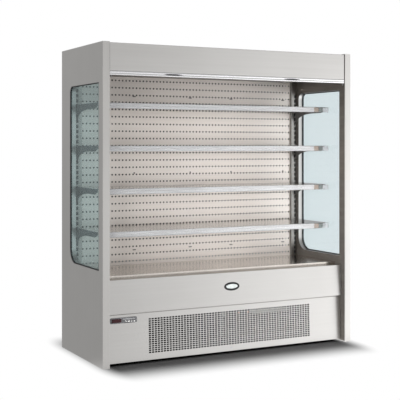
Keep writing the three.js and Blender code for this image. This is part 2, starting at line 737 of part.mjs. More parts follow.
function returnGrille() {
  const y0 = setback(APRON_TOP_SETBACK) + APRON_HEM + CLEARANCE;
  const y1 = y0 + RETURN_DEPTH;
  const slotStart = y0 + RETURN_BAR;
  const slotEnd = setback(DECK_SETBACK) - RETURN_BAR;
  const length = (2 * FIT) / RETURN_COLUMNS - RETURN_BAR * 2;
  const width = (slotEnd - slotStart) / RETURN_ROWS - RETURN_BAR;
  const slots = holeGrid("z", [-FIT, FIT, RETURN_COLUMNS, length],
    [slotStart, slotEnd, RETURN_ROWS, width], APRON_TOP - SHEET * 2, APRON_TOP + 1);
  const plate = box(-FIT, FIT, y0, y1, APRON_TOP - SHEET, APRON_TOP);
  const stand = setback(TUB_SETBACK);
  const foot = box(-FIT, FIT, stand, stand + SHEET, TUB_RIM + CLEARANCE, APRON_TOP - SHEET / 2);
  const rear = box(-FIT, FIT, y1 - SHEET, y1, TUB_RIM, APRON_TOP - SHEET / 2);
  return join(cut(plate, slots), foot, rear);
}

function frontApron() {
  const topFront = setback(APRON_TOP_SETBACK);
  const bottomFront = setback(APRON_BOTTOM_SETBACK);
  const path = [
    [topFront + APRON_HEM, APRON_TOP],
    [topFront, APRON_TOP],
    [bottomFront, APRON_BOTTOM],
    [setback(TUB_SETBACK) - CLEARANCE, APRON_BOTTOM],
    [setback(TUB_SETBACK) - CLEARANCE, APRON_BOTTOM + TUB_WALL],
  ];
  return extrude(folded(path, SHEET), "x", -COVER_HALF, COVER_HALF);
}

// ---------------------------------------------------------------- grille panel and controller

const hingeRod = () =>
  bar("x", setback(ROD_SETBACK), ROD_HEIGHT, ROD_RADIUS, -INNER - ROD_ENTRY, INNER + ROD_ENTRY, 12);

// The panel's own frame: its origin is on the hinge rod, its face is upright and faces -y.
const PANEL_FACE = -CURL_RADIUS;
const panelZ = (z) => z - ROD_HEIGHT;

function grillePanel() {
  const low = panelZ(PANEL_BOTTOM);
  const path = [
    ...arc(0, 0, CURL_RADIUS, -20, 180, 10),
    [PANEL_FACE, low],
    [PANEL_FACE + PANEL_RETURN, low],
  ];
  const skin = extrude(folded(path, SHEET), "x", -COVER_HALF, COVER_HALF);
  const left = LEFT + GRILLE_LEFT;
  const z0 = panelZ(GRILLE_BOTTOM);
  const slotLength = (GRILLE_WIDTH / GRILLE_COLUMNS) * GRILLE_OPEN[0];
  const slotHeight = (GRILLE_HEIGHT / GRILLE_ROWS) * GRILLE_OPEN[1];
  const slots = holeGrid("y", [left, left + GRILLE_WIDTH, GRILLE_COLUMNS, slotLength],
    [z0, z0 + GRILLE_HEIGHT, GRILLE_ROWS, slotHeight], PANEL_FACE - 1, PANEL_FACE + SHEET + 1);
  const well = box(
    LEFT + BEZEL_LEFT + BEZEL_BORDER - CLEARANCE,
    LEFT + BEZEL_LEFT + BEZEL_WIDTH - BEZEL_BORDER + CLEARANCE,
    PANEL_FACE - 1, PANEL_FACE + SHEET + 1,
    panelZ(BEZEL_BOTTOM) + BEZEL_BORDER - CLEARANCE,
    panelZ(BEZEL_BOTTOM) + BEZEL_HEIGHT - BEZEL_BORDER + CLEARANCE,
  );
  return cut(skin, well, slots);
}

// The controller's housing: a frame on the panel's face, and a body through its cut-out.
function controllerBezel() {
  const x0 = LEFT + BEZEL_LEFT;
  const x1 = x0 + BEZEL_WIDTH;
  const z0 = panelZ(BEZEL_BOTTOM);
  const z1 = z0 + BEZEL_HEIGHT;
  const face = PANEL_FACE - CLEARANCE - BEZEL_FRAME;
  const b = BEZEL_BORDER;
  const frame = box(x0, x1, face, PANEL_FACE - CLEARANCE, z0, z1);
  const body = box(x0 + b, x1 - b, face + 1, PANEL_FACE + BEZEL_BODY, z0 + b, z1 - b);
  const display = displayBox(CLEARANCE, face - 1);
  const wells = Array.from({ length: KEY_COUNT }, (_, i) =>
    keyOval(i, KEY_PLAY, face - 1, keyBack() + KEY_TRAVEL + CLEARANCE),
  );
  return cut(join(frame, body), display, ...wells);
}

// The space of the display lens, widened by a gap, from a face back to the lens's seat.
function displayBox(gap, face) {
  const x0 = LEFT + BEZEL_LEFT + DISPLAY_LEFT;
  const middle = panelZ(BEZEL_BOTTOM) + BEZEL_HEIGHT / 2;
  const back = PANEL_FACE - CLEARANCE - BEZEL_FRAME + DISPLAY_THICKNESS + gap;
  return box(x0 - gap, x0 + DISPLAY_WIDTH + gap, face, back,
    middle - DISPLAY_HEIGHT / 2 - gap, middle + DISPLAY_HEIGHT / 2 + gap);
}

const controllerDisplay = () => displayBox(0, PANEL_FACE - CLEARANCE - BEZEL_FRAME + DISPLAY_SUNK);
const keyFront = () => PANEL_FACE - CLEARANCE - BEZEL_FRAME - KEY_PROUD;
const keyBack = () => keyFront() + KEY_LENGTH;

// An oval prism at a key's place, widened by a gap.
function keyOval(i, gap, y0, y1) {
  const x = LEFT + BEZEL_LEFT + KEY_FIRST + i * KEY_PITCH;
  const z = panelZ(BEZEL_BOTTOM) + KEY_RISE;
  const r = KEY_HEIGHT / 2 + gap;
  const run = (KEY_WIDTH - KEY_HEIGHT) / 2;
  const shape = outline([...arc(x + run, z, r, -90, 90, 4), ...arc(x - run, z, r, 90, 270, 4)]);
  return extrude(shape, "y", y0, y1);
}

function grillePanelGroup() {
  const group = new THREE.Group();
  const height = ROD_HEIGHT - PANEL_BOTTOM;
  group.position.set(0, setback(ROD_SETBACK), ROD_HEIGHT);
  group.rotation.x = -Math.atan2(PANEL_TOP_SETBACK - PANEL_BOTTOM_SETBACK, height);
  group.add(piece("grille_panel", grillePanel(), satinSteel()));
  group.add(piece("controller_bezel", controllerBezel(), darkPlastic()));
  group.add(piece("controller_display", controllerDisplay(), lens()));
  for (let i = 0; i < KEY_COUNT; i++) {
    const key = keyOval(i, 0, keyFront(), keyBack());
    group.add(piece(`controller_key_${i + 1}`, key, whitePlastic()));
  }
  return group;
}

// ---------------------------------------------------------------- chassis and castors

// A castor's fork about its swivel axis at (0, 0): plate, two cheeks and the axle.
function castorFork(x, y, top) {
  const plateLow = CASTOR_RADIUS * 2 + CASTOR_GAP * 2;
  const half = CASTOR_WIDTH / 2 + CASTOR_GAP;
  const axleY = y + CASTOR_TRAIL;
  const plate = bar("z", x, y, CASTOR_PLATE, plateLow, top, 12);
  const root = CASTOR_PLATE * CHEEK_ROOT;
  const eye = AXLE_RADIUS * 2;
  const cheekShape = outline([
    [y - root, plateLow + SHEET],
    [axleY - eye, CASTOR_RADIUS - eye],
    [axleY + eye, CASTOR_RADIUS - eye],
    [y + root, plateLow + SHEET],
  ]);
  const cheeks = [-1, 1].map((side) => {
    const near = x + side * half;
    const far = near + side * CASTOR_CHEEK;
    return extrude(cheekShape, "x", Math.min(near, far), Math.max(near, far));
  });
  const reach = half + CASTOR_CHEEK / 2;
  const axle = bar("x", axleY, CASTOR_RADIUS, AXLE_RADIUS, x - reach, x + reach, 10);
  return join(plate, ...cheeks, axle);
}

function castorWheel(x, y) {
  const a = y + CASTOR_TRAIL;
  const half = CASTOR_WIDTH / 2;
  const facet = 360 / WHEEL_SIDES;
  const corner = CASTOR_RADIUS / Math.cos(Math.PI / WHEEL_SIDES); // a flat facet lies on the floor
  const tyre = outline(
    arc(a, CASTOR_RADIUS, corner, -90 + facet / 2, 270 + facet / 2, WHEEL_SIDES).slice(0, -1),
  );
  tyre.holes.push(circle(a, CASTOR_RADIUS, AXLE_RADIUS + AXLE_PLAY, 10));
  return extrude(tyre, "x", x - half, x + half);
}

// A tray of folded sheet that carries the machinery, with the two fixed rear castors' forks.
function baseFrame() {
  const y0 = setback(BASE_SETBACK);
  const y1 = BACK - REAR_SHEET - CLEARANCE;
  const top = BASE_BOTTOM + BASE_HEIGHT;
  const tray = box(-FIT, FIT, y0, y1, BASE_BOTTOM, top);
  const inside = box(-FIT + SHEET, FIT - SHEET, y0 + SHEET, y1 - SHEET, BASE_FLOOR, top + 1);
  const forks = [-1, 1].map((side) =>
    castorFork(side * (INNER - CASTOR_INSET), setback(CASTOR_REAR), BASE_BOTTOM + 1),
  );
  return join(cut(tray, inside), ...forks);
}

function rearGrille() {
  const bottom = BASE_BOTTOM;
  const top = TUB_BOTTOM - CLEARANCE;
  const length = (2 * FIT) / LOUVRE_COLUMNS - LOUVRE_BAR;
  const low = bottom + BASE_HEIGHT + LOUVRE_MARGIN;
  const high = top - LOUVRE_MARGIN;
  const louvres = holeGrid("y", [-FIT, FIT, LOUVRE_COLUMNS, length],
    [low, high, LOUVRE_ROWS, LOUVRE_HEIGHT], BACK - REAR_SHEET - 1, BACK + 1);
  return cut(box(-FIT, FIT, BACK - REAR_SHEET, BACK, bottom, top), louvres);
}

// ---------------------------------------------------------------- refrigeration parts

// A coil: a comb of upright fins on a core, with return bends at both ends.
function coil(middle, width, y0, depth, z0, height, fins) {
  const x0 = middle - width / 2;
  const pitch = (width - FIN) / (fins - 1);
  const core = depth * COIL_CORE;
  const front = [];
  const rear = [];
  for (let i = 0; i < fins; i++) {
    const a = x0 + i * pitch;
    front.push([a, y0], [a + FIN, y0]);
    rear.push([a, y0 + depth], [a + FIN, y0 + depth]);
    if (i < fins - 1) {
      front.push([a + FIN, y0 + core], [a + pitch, y0 + core]);
      rear.push([a + FIN, y0 + depth - core], [a + pitch, y0 + depth - core]);
    }
  }
  const block = extrude(outline([...front, ...rear.reverse()]), "z", z0, z0 + height);
  const rowHeight = height / TUBE_ROWS;
  const bends = Array.from({ length: TUBE_ROWS * 2 }, (_, i) => {
    const side = i % 2 ? 1 : -1;
    const z = z0 + rowHeight * (Math.floor(i / 2) + 0.5);
    return returnBend(middle + (side * width) / 2, y0 + depth / 2, z, side, rowHeight / 4);
  });
  return join(block, ...bends);
}

// A half ring of tube that leaves a coil's end plate and comes back a little lower.
function returnBend(x, y, z, side, radius) {
  const points = arc(0, 0, radius, -90, 90, BEND_STEPS).map(
    ([a, b]) => new THREE.Vector3(x + side * (a - 1), y, z + b),
  );
  const section = new THREE.Shape();
  section.absarc(0, 0, TUBE_RADIUS, 0, Math.PI * 2);
  const path = new THREE.CatmullRomCurve3(points);
  const options = { extrudePath: path, steps: BEND_STEPS, bevelEnabled: false, curveSegments: 3 };
  return new THREE.ExtrudeGeometry(section, options);
}

// A plate with round openings, and behind each a motor held by three arms. The air goes to +y.
function fanPlate(x0, x1, y, z0, z1, middles, radius) {
  const z = (z0 + z1) / 2;
  const face = rectangle(x0, x1, z0, z1);
  middles.forEach((x) => face.holes.push(circle(x, z, radius + FAN_RUNNING_GAP, 20)));
  const plate = extrude(face, "y", y, y + SHEET);
  const hub = radius * HUB_SHARE;
  const motorFront = y + SHEET + FAN_DEPTH;
  const motors = middles.flatMap((x) => [
    bar("y", x, z, hub, motorFront, motorFront + MOTOR_LENGTH, 12),
    bar("y", x, z, AXLE_RADIUS, y, motorFront + 1, 8),
    ...MOTOR_ARMS.map((angle) =>
      motorArm(x, z, y, angle, hub * ARM_ROOT, radius + FAN_RUNNING_GAP + ARM_THICKNESS),
    ),
  ]);
  return join(plate, ...motors);
}

// An arm from the motor's rim out past the opening and forward to the plate.
function motorArm(x, z, y, angle, near, far) {
  const back = y + SHEET + FAN_DEPTH + MOTOR_LENGTH / 2;
  const half = ARM_WIDTH / 2;
  const arm = join(
    box(near, far + ARM_THICKNESS, back, back + ARM_THICKNESS, -half, half),
    box(far, far + ARM_THICKNESS, y + 1, back + 1, -half, half),
  );
  arm.rotateY(THREE.MathUtils.degToRad(-angle));
  return arm.translate(x, 0, z);
}

// A fan rotor on its motor's shaft: a hub with a bore, and pitched blades with a swept edge.
function fanRotor(x, y, z, radius) {
  const hub = radius * HUB_SHARE;
  const half = FAN_DEPTH / 2 - FAN_END_GAP;
  const pitch = THREE.MathUtils.degToRad(FAN_PITCH);
  const chord = (half - BLADE) / Math.sin(pitch);
  const sweep = THREE.MathUtils.radToDeg(Math.asin(Math.min(WIDEST_CHORD, chord / radius)));
  const blades = Array.from({ length: FAN_BLADES }, (_, i) => {
    const shape = outline([
      [hub * BLADE_ROOT, -hub * BLADE_LEAD],
      ...arc(0, 0, radius, -sweep * BLADE_SWEEP, sweep, 4),
      [hub * BLADE_ROOT, hub * BLADE_TRAIL],
    ]);
    const blade = new THREE.ExtrudeGeometry(shape, { depth: BLADE, bevelEnabled: false });
    blade.translate(0, 0, -BLADE / 2);
    blade.rotateX(pitch);
    blade.rotateZ((Math.PI * 2 * i) / FAN_BLADES);
    return blade.applyMatrix4(BASIS.y);
  });
  const core = bar("y", 0, 0, hub, -half, half, 12);
  const bore = bar("y", 0, 0, AXLE_RADIUS + AXLE_PLAY, -half - 1, half + 1, 8);
  const rotor = cut(join(core, ...blades), bore);
  return rotor.translate(x, y + SHEET + FAN_DEPTH / 2, z);
}

// A hermetic compressor: a domed shell on a foot plate, with two pipe stubs.
function compressor() {
  const r = COMPRESSOR_RADIUS;
  const h = COMPRESSOR_HEIGHT;
  const foot = COMPRESSOR_FOOT;
  const seam = h / 2;
  const flange = WELD_FLANGE;
  const shoulder = h - r * DOME;
  const dome = arc(0, 0, r, 0, 90, 5).map(([a, b]) => [a, shoulder + b * DOME]);
  const profile = [
    [0, foot - 1], [r * SHELL_BASE, foot - 1], [r, foot + r * SHELL_CORNER],
    [r, seam - flange], [r + flange, seam - flange / 2], [r + flange, seam + flange / 2],
    [r, seam + flange],
    ...dome,
  ].map(([a, b]) => new THREE.Vector2(Math.max(a, 0), b));
  const shell = new THREE.LatheGeometry(profile, COMPRESSOR_SIDES).rotateX(Math.PI / 2);
  const plate = box(-COMPRESSOR_REACH, COMPRESSOR_REACH, -r * SHELL_BASE, r * SHELL_BASE, 0, foot);
  const stubs = [-1, 1].map((side) =>
    bar("x", side * r * STUB_SPREAD, h * STUB_RISE, TUBE_RADIUS, -r - STUB_LENGTH, 0, 8),
  );
  const whole = join(shell, plate, ...stubs);
  return whole.translate(COMPRESSOR_OFFSET, setback(COMPRESSOR_SETBACK), BASE_FLOOR + CLEARANCE);
}

function electricalBox() {
  const [w, d, h] = ELECTRIC_SIZE;
  const x0 = LEFT + ELECTRIC_LEFT;
  const y0 = setback(ELECTRIC_SETBACK);
  const z0 = BASE_FLOOR + CLEARANCE;
  const lid = z0 + h - ELECTRIC_LID;
  const g = LID_GROOVE;
  const lidGroove = cut(
    box(x0 - 1, x0 + w + 1, y0 - 1, y0 + d + 1, lid, lid + g),
    box(x0 + g, x0 + w - g, y0 + g, y0 + d - g, lid - 1, lid + g + 1),
  );
  const gland = bar("y", x0 + w - GLAND_INSET, z0 + GLAND_INSET, GLAND_RADIUS, y0 + d - 1,
    y0 + d + GLAND_LENGTH, 6);
  return join(cut(box(x0, x0 + w, y0, y0 + d, z0, z0 + h), lidGroove), gland);
}

function condensateTray() {
  const [w, d, h] = TRAY_SIZE;
  const x = DRAIN_OFFSET;
  const y = setback(DRAIN_SETBACK);
  const z0 = BASE_FLOOR + CLEARANCE;
  const t = TRAY_WALL;
  const outer = box(x - w / 2, x + w / 2, y - d / 2, y + d / 2, z0, z0 + h);
  const inner = box(x - w / 2 + t, x + w / 2 - t, y - d / 2 + t, y + d / 2 - t, z0 + t, z0 + h + 1);
  return cut(outer, inner);
}

// ---------------------------------------------------------------- assembly

const fridge = new THREE.Group();
const add = (name, geometry, material) => fridge.add(piece(name, geometry, material));
const SIDES = [["left", -1], ["right", 1]];

for (const [word, side] of SIDES) {
  add(`${word}_end_panel`, endPanel(side), satinSteel());
  add(`${word}_window_seal`, windowSeal(side), blackRubber());
  add(`${word}_window_glass`, windowGlass(side), tintedGlass());
  add(`${word}_upright`, upright(side), galvanised());
}

add("back_panel", box(-FIT, FIT, BACK_FACE, BACK, TUB_BOTTOM, CANOPY_TOP), galvanised());
add("roof_panel",
  box(-FIT, FIT, setback(ROOF_SETBACK), BACK_FACE - CLEARANCE, ROOF_BOTTOM, CANOPY_TOP), galvanised());
add("canopy_fascia", canopyFascia(), satinSteel());
add("canopy_lamp", canopyLamp(), whitePlastic());
add("air_outlet_honeycomb", airOutlet(), darkPlastic());
add("ceiling_panel", ceilingPanel(), linerSteel());
add("rear_duct_panel", ductPanel(), linerSteel());

add("blind_bar", blindBar(), brightSteel());
add("blind_roller", blindRoller(), cloth());
add("blind_cloth", blindCloth(), cloth());

SHELF_SLOTS.forEach((slot, i) => {
  add(`shelf_${i + 1}`, shelf(slot), satinSteel());
  for (const [word, side] of SIDES)
    add(`shelf_${i + 1}_${word}_bracket`, bracket(side, slot), darkMetal());
});

add("evaporator_tub", evaporatorTub(), linerSteel());
add("display_deck", displayDeck(), brightSteel());
add("return_air_grille", returnGrille(), brightSteel());
add("front_apron", frontApron(), satinSteel());
add("panel_hinge_rod", hingeRod(), galvanised());
fridge.add(grillePanelGroup());

add("base_frame", baseFrame(), galvanised());
add("rear_machine_grille", rearGrille(), galvanised());
for (const [word, side] of SIDES) {
  const x = side * (INNER - CASTOR_INSET);
  const front = setback(CASTOR_FRONT);
  add(`front_${word}_castor_fork`, castorFork(x, front, BASE_BOTTOM - CLEARANCE), galvanised());
  add(`front_${word}_castor_wheel`, castorWheel(x, front), blackRubber());
  add(`rear_${word}_castor_wheel`, castorWheel(x, setback(CASTOR_REAR)), blackRubber());
}

const condenserBack = setback(CONDENSER_SETBACK) + CONDENSER_DEPTH + CLEARANCE;
const condenserLow = BASE_FLOOR + CLEARANCE;
add("condenser_coil",
  coil(CONDENSER_MIDDLE, CONDENSER_WIDTH, setback(CONDENSER_SETBACK), CONDENSER_DEPTH,
    condenserLow, CONDENSER_HEIGHT, CONDENSER_FINS), darkMetal());
add("condenser_fan_plate",
  fanPlate(CONDENSER_MIDDLE - CONDENSER_WIDTH / 2, CONDENSER_MIDDLE + CONDENSER_WIDTH / 2,
    condenserBack, condenserLow, condenserLow + CONDENSER_HEIGHT, [CONDENSER_MIDDLE], CONDENSER_FAN),
  galvanised());
add("condenser_fan",
  fanRotor(CONDENSER_MIDDLE, condenserBack, condenserLow + CONDENSER_HEIGHT / 2, CONDENSER_FAN),
  darkPlastic());

const fanPanelY = setback(FAN_PANEL_SETBACK);
const tubSeat = TUB_FLOOR + CLEARANCE;
const fanPanelTop = APRON_TOP - SHEET;
const fanOffsets = [["left", -EVAPORATOR_FAN_OFFSET], ["right", EVAPORATOR_FAN_OFFSET]];
add("evaporator_coil",
  coil(0, EVAPORATOR_WIDTH, setback(EVAPORATOR_SETBACK), EVAPORATOR_DEPTH, tubSeat,
    EVAPORATOR_HEIGHT, EVAPORATOR_FINS), copper());
add("evaporator_fan_panel",
  fanPlate(-FIT, FIT, fanPanelY, tubSeat, fanPanelTop, fanOffsets.map(([, x]) => x), EVAPORATOR_FAN),
  galvanised());
for (const [word, x] of fanOffsets)
  add(`evaporator_fan_${word}`, fanRotor(x, fanPanelY, (tubSeat + fanPanelTop) / 2, EVAPORATOR_FAN),
    darkPlastic());

add("compressor", compressor(), darkMetal());
add("electrical_box", electricalBox(), darkPlastic());
add("condensate_tray", condensateTray(), galvanised());

export default fridge;
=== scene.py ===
"""Looks of an open multideck display fridge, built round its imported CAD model. Metres, +Z up, front to -Y."""

import json
from itertools import accumulate, pairwise
from math import atan2, cos, hypot, pi, radians, sin, sqrt, tan

import bmesh
import bpy
from mathutils import Matrix, Vector


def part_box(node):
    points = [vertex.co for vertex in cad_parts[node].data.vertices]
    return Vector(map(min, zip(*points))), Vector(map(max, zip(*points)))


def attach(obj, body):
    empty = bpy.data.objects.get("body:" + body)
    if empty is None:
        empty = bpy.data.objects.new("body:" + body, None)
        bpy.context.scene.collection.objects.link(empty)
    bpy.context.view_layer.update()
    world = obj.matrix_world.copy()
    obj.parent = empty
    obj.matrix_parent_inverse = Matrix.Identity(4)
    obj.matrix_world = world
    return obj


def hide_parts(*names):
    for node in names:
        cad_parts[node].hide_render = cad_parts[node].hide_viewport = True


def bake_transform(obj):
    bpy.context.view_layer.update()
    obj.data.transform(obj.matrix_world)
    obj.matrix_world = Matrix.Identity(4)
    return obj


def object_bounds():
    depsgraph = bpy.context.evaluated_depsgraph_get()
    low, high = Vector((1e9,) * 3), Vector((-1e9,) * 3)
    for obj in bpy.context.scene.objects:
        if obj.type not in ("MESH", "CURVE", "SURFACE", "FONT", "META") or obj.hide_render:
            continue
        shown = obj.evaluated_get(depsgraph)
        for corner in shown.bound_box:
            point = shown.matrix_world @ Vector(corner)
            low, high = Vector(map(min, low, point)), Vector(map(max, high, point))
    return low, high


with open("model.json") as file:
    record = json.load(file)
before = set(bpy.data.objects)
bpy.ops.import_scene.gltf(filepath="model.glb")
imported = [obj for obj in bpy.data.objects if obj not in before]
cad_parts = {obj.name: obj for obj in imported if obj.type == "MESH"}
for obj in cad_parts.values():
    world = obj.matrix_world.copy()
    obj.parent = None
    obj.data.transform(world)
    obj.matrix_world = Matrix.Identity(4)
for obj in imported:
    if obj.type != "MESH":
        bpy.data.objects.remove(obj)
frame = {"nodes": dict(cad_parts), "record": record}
cad_low, cad_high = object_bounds()

SIDES = (("left", -1), ("right", 1))
TINY = 1e-5
CLOSE = 1e-9

# ---------------- sizes

# Taken from the CAD model
FRONT = cad_low.y
BACK = cad_high.y
OUTER = cad_high.x
TOP = cad_high.z
INNER = -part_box("left_end_panel")[1].x  # inside face of the end panels, from the middle
PANEL_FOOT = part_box("left_end_panel")[0].z
COVER_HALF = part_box("canopy_fascia")[1].x

# Sheet metal
BEND = 0.0025
BEND_STEPS = 4
SHEET = 0.002
THIN_SHEET = 0.0015
FINE_EDGE = 0.0004  # bevel of small strips and plates

# End panels and windows
POST_ROUND = 0.005
EDGE_ROUND = 0.0008
LINER = 0.0008
LINER_MARGIN = 0.006
WINDOW_FRONT = FRONT + 0.065
WINDOW_REAR = FRONT + 0.575
WINDOW_SILL = 0.588
WINDOW_HEAD = 1.735
WINDOW_LOW_RADIUS = 0.090
WINDOW_HIGH_RADIUS = 0.042
SEAL_PROFILE = [  # inset from the opening's edge, depth from the outer face
    (0.0003, 0.0022), (0.0012, 0.0010), (0.0046, 0.0006), (0.0058, 0.0018), (0.0058, 0.0047),
    (0.0033, 0.0047), (0.0033, 0.0133), (0.0056, 0.0133), (0.0056, 0.0150), (0.0048, 0.0158),
    (0.0012, 0.0158), (0.0003, 0.0150),
]
GLASS_PROFILE = [(0.0043, 0.005), (0.0034, 0.0059), (0.0034, 0.0121), (0.0043, 0.013)]

# ---------------- camera and light

CAMERA_PLACE = (-3.066, -5.774, 1.345)
CAMERA_TURN = -27.48  # degrees about Z
CAMERA_LENS = 86.7
CAMERA_SHIFT = -0.134

MIDDLE = (0, 0, 1)
LAMPS = (  # name, place, what it faces, size, watts, spread in degrees
    ("key", (3.6, -4.6, 1.7), MIDDLE, (3.0, 2.6), 35, 180),
    ("fill", (-3.6, -4.6, 1.4), MIDDLE, (3.0, 2.4), 110, 180),
    ("top", (-0.5, 0.7, 4.8), MIDDLE, (2.4, 1.6), 250, 180),
    ("inside", (-3.2, -4.4, 1.3), (1.5, 0.2, 0.75), (0.8, 0.8), 12.5, 32),
)
WHITE = (1, 1, 1, 1)
DIFFUSE_SKY = 0.35
STUDIO_EYE = (-3.0, 5.0, 1.3)  # the floor's tone in metal is set by the direction seen from here
STUDIO_TOWARD = Vector((0.866, -0.50, -0.40)).normalized()  # its brightest side, to the front right
STUDIO_DARK = 0.50
STUDIO_LIGHT = 3.70
STUDIO_FOCUS = 8.0
FLOOR_REACH = 40
FLOOR_TONE = 0.9
FLOOR_METAL = (0.45, 3.20)  # its dark and its light level in metal
FLOOR_SIDE = -0.6  # from the middle to here its light level in metal comes up
FLOOR_FAR = (-3.0, -8.0)  # and from the first to the second of these it gains again
FLOOR_GAIN = 1.75
FLOOR_SEEN = 0.28  # tone of the floor in the cabinet's shadow, to the camera and through glass
CONTACT_REACH = 0.45
SHADOW_REACH = (0.17, 0.41)  # how far the soft shadow runs out to the sides, and to the front and back
SHADOW_INSET = 0.10  # from this far inside the cabinet's sides
SHADOW_EDGE = 0.08  # share of that reach before it starts to fade


def put(name, data):
    """An object of the data, in the scene."""
    made = bpy.data.objects.new(name, data)
    bpy.context.scene.collection.objects.link(made)
    return made


def make_camera():
    data = bpy.data.cameras.new("camera")
    data.lens = CAMERA_LENS
    data.sensor_width = 36
    data.shift_y = CAMERA_SHIFT
    camera = put("camera", data)
    camera.location = CAMERA_PLACE
    camera.rotation_euler = (radians(90), 0, radians(CAMERA_TURN))
    bpy.context.scene.camera = camera


def area_light(name, place, target, size, power, spread):
    data = bpy.data.lights.new(name, "AREA")
    data.shape = "RECTANGLE"
    data.size, data.size_y = size
    data.energy = power
    data.spread = radians(spread)
    lamp = put(name, data)
    lamp.location = place
    lamp.rotation_euler = (Vector(target) - Vector(place)).to_track_quat("-Z", "Y").to_euler()
    lamp.visible_glossy = False
    lamp.visible_transmission = False


def add(tree, kind, inputs=None, **settings):
    """A shader node with its settings, and its inputs set to values or linked from sockets."""
    made = tree.nodes.new("ShaderNode" + kind)
    for key, value in settings.items():
        setattr(made, key, value)
    for key, value in (inputs or {}).items():
        if isinstance(value, bpy.types.NodeSocket):
            tree.links.new(value, made.inputs[key])
        else:
            made.inputs[key].default_value = value
    return made


def math_of(tree, operation, a, b):
    return add(tree, "Math", {0: a, 1: b}, operation=operation).outputs[0]


def vector_of(tree, operation, a, b=(0, 0, 0)):
    made = add(tree, "VectorMath", {0: a, 1: b}, operation=operation)
    return made.outputs["Value" if operation in ("DOT_PRODUCT", "LENGTH") else "Vector"]


def mapped(tree, value, start, end, low=0.0, high=1.0, kind="LINEAR"):
    """Brings a value's range from start to end to the range from low to high, and holds it there."""
    inputs = {"Value": value, "From Min": start, "From Max": end, "To Min": low, "To Max": high}
    return add(tree, "MapRange", inputs, interpolation_type=kind).outputs["Result"]


def studio_level(tree, direction, dark, light):
    """How bright the pale studio is to metal, along a direction: dark to the back left, bright to the front
    right."""
    ahead = math_of(tree, "MAXIMUM", vector_of(tree, "DOT_PRODUCT", direction, STUDIO_TOWARD), 0.0)
    return mapped(tree, math_of(tree, "POWER", ahead, STUDIO_FOCUS), 0.0, 1.0, dark, light)


def after_metal(tree, path):
    return math_of(tree, "GREATER_THAN", path["Glossy Depth"], 0.5)


def by_ray(tree, output, soft, metal, seen):
    """Sets the output to three shaders: for soft rays, for rays that left a metal, also where they then pass
    through glass, and for rays straight from the camera or through glass alone."""
    path = add(tree, "LightPath").outputs
    through = path["Is Transmission Ray"]
    metal_through = math_of(tree, "MULTIPLY", through, after_metal(tree, path))
    from_metal = math_of(tree, "MAXIMUM", path["Is Glossy Ray"], metal_through)
    glass_only = math_of(tree, "SUBTRACT", through, metal_through)
    direct = math_of(tree, "MAXIMUM", path["Is Camera Ray"], glass_only)
    first = add(tree, "MixShader", {0: from_metal, 1: soft.outputs[0], 2: metal.outputs[0]})
    second = add(tree, "MixShader", {0: direct, 1: first.outputs[0], 2: seen.outputs[0]})
    add(tree, output, {"Surface": second.outputs[0]})


def make_world():
    """White to the camera and through glass. Metal sees a pale studio, brightest to the front right."""
    world = bpy.data.worlds.new("studio")
    bpy.context.scene.world = world
    world.use_nodes = True
    tree = world.node_tree
    tree.nodes.clear()
    direction = add(tree, "TexCoord").outputs["Generated"]
    levels = (DIFFUSE_SKY, studio_level(tree, direction, STUDIO_DARK, STUDIO_LIGHT), 1.0)
    by_ray(tree, "OutputWorld",
           *(add(tree, "Background", {"Color": WHITE, "Strength": level}) for level in levels))


def make_floor():
    """A pale floor that reads as white where it is fully lit. Round the cabinet its tone is a painted soft
    shadow, darkest where ambient occlusion is, over the lamps' own shadow. Metal sees it fall off with the
    studio."""
    bm = bmesh.new()
    bmesh.ops.create_grid(bm, x_segments=1, y_segments=1, size=FLOOR_REACH)
    mesh = bpy.data.meshes.new("floor")
    bm.to_mesh(mesh)
    bm.free()
    floor = put("floor", mesh)
    material = bpy.data.materials.new("floor")
    material.use_nodes = True
    tree = material.node_tree
    tree.nodes.clear()
    place = add(tree, "NewGeometry").outputs["Position"]
    depth = add(tree, "SeparateXYZ", {0: place}).outputs["Y"]

    plain = add(tree, "BsdfDiffuse", {"Color": (FLOOR_TONE, FLOOR_TONE, FLOOR_TONE, 1)})
    direction = vector_of(tree, "NORMALIZE", vector_of(tree, "SUBTRACT", place, STUDIO_EYE))
    front = mapped(tree, depth, 0.0, FLOOR_SIDE, *FLOOR_METAL, "SMOOTHSTEP")
    gain = mapped(tree, depth, *FLOOR_FAR, 1.0, FLOOR_GAIN, "SMOOTHSTEP")
    bright = math_of(tree, "MULTIPLY", front, gain)
    in_metal = add(tree, "Emission", {
        "Color": WHITE, "Strength": studio_level(tree, direction, FLOOR_METAL[0], bright)})

    # painted shadow: ambient occlusion darkens the tone near the cabinet, and it fades to white with distance
    # from the footprint
    contact = add(tree, "AmbientOcclusion", {"Color": WHITE, "Distance": CONTACT_REACH}, samples=8)
    painted_shadow_tone = math_of(tree, "MULTIPLY", contact.outputs["AO"], FLOOR_SEEN)
    tone = add(tree, "CombineColor", {0: painted_shadow_tone, 1: painted_shadow_tone, 2: painted_shadow_tone})
    near = add(tree, "BsdfDiffuse", {"Color": tone.outputs[0]})
    far = add(tree, "Emission", {"Color": WHITE, "Strength": 1.0})
    outside = vector_of(tree, "SUBTRACT", vector_of(tree, "ABSOLUTE", place), (OUTER - SHADOW_INSET, BACK, 0))
    share = vector_of(tree, "DIVIDE", vector_of(tree, "MAXIMUM", outside), (*SHADOW_REACH, 1))
    fade = mapped(tree, vector_of(tree, "LENGTH", share), SHADOW_EDGE, 1.0, kind="SMOOTHSTEP")
    seen = add(tree, "MixShader", {0: fade, 1: near.outputs[0], 2: far.outputs[0]})
    by_ray(tree, "OutputMaterial", plain, in_metal, seen)
    mesh.materials.append(material)


make_camera()
make_world()
make_floor()
for lamp_row in LAMPS:
    area_light(*lamp_row)
bpy.context.scene.view_settings.view_transform = "Standard"

# ---------------- finishes

FINISHES = {}
SMUDGE = 0.22
CLOUD = 0.6
EDGE_WEAR = 0.03  # size of the patches in which edges are worn


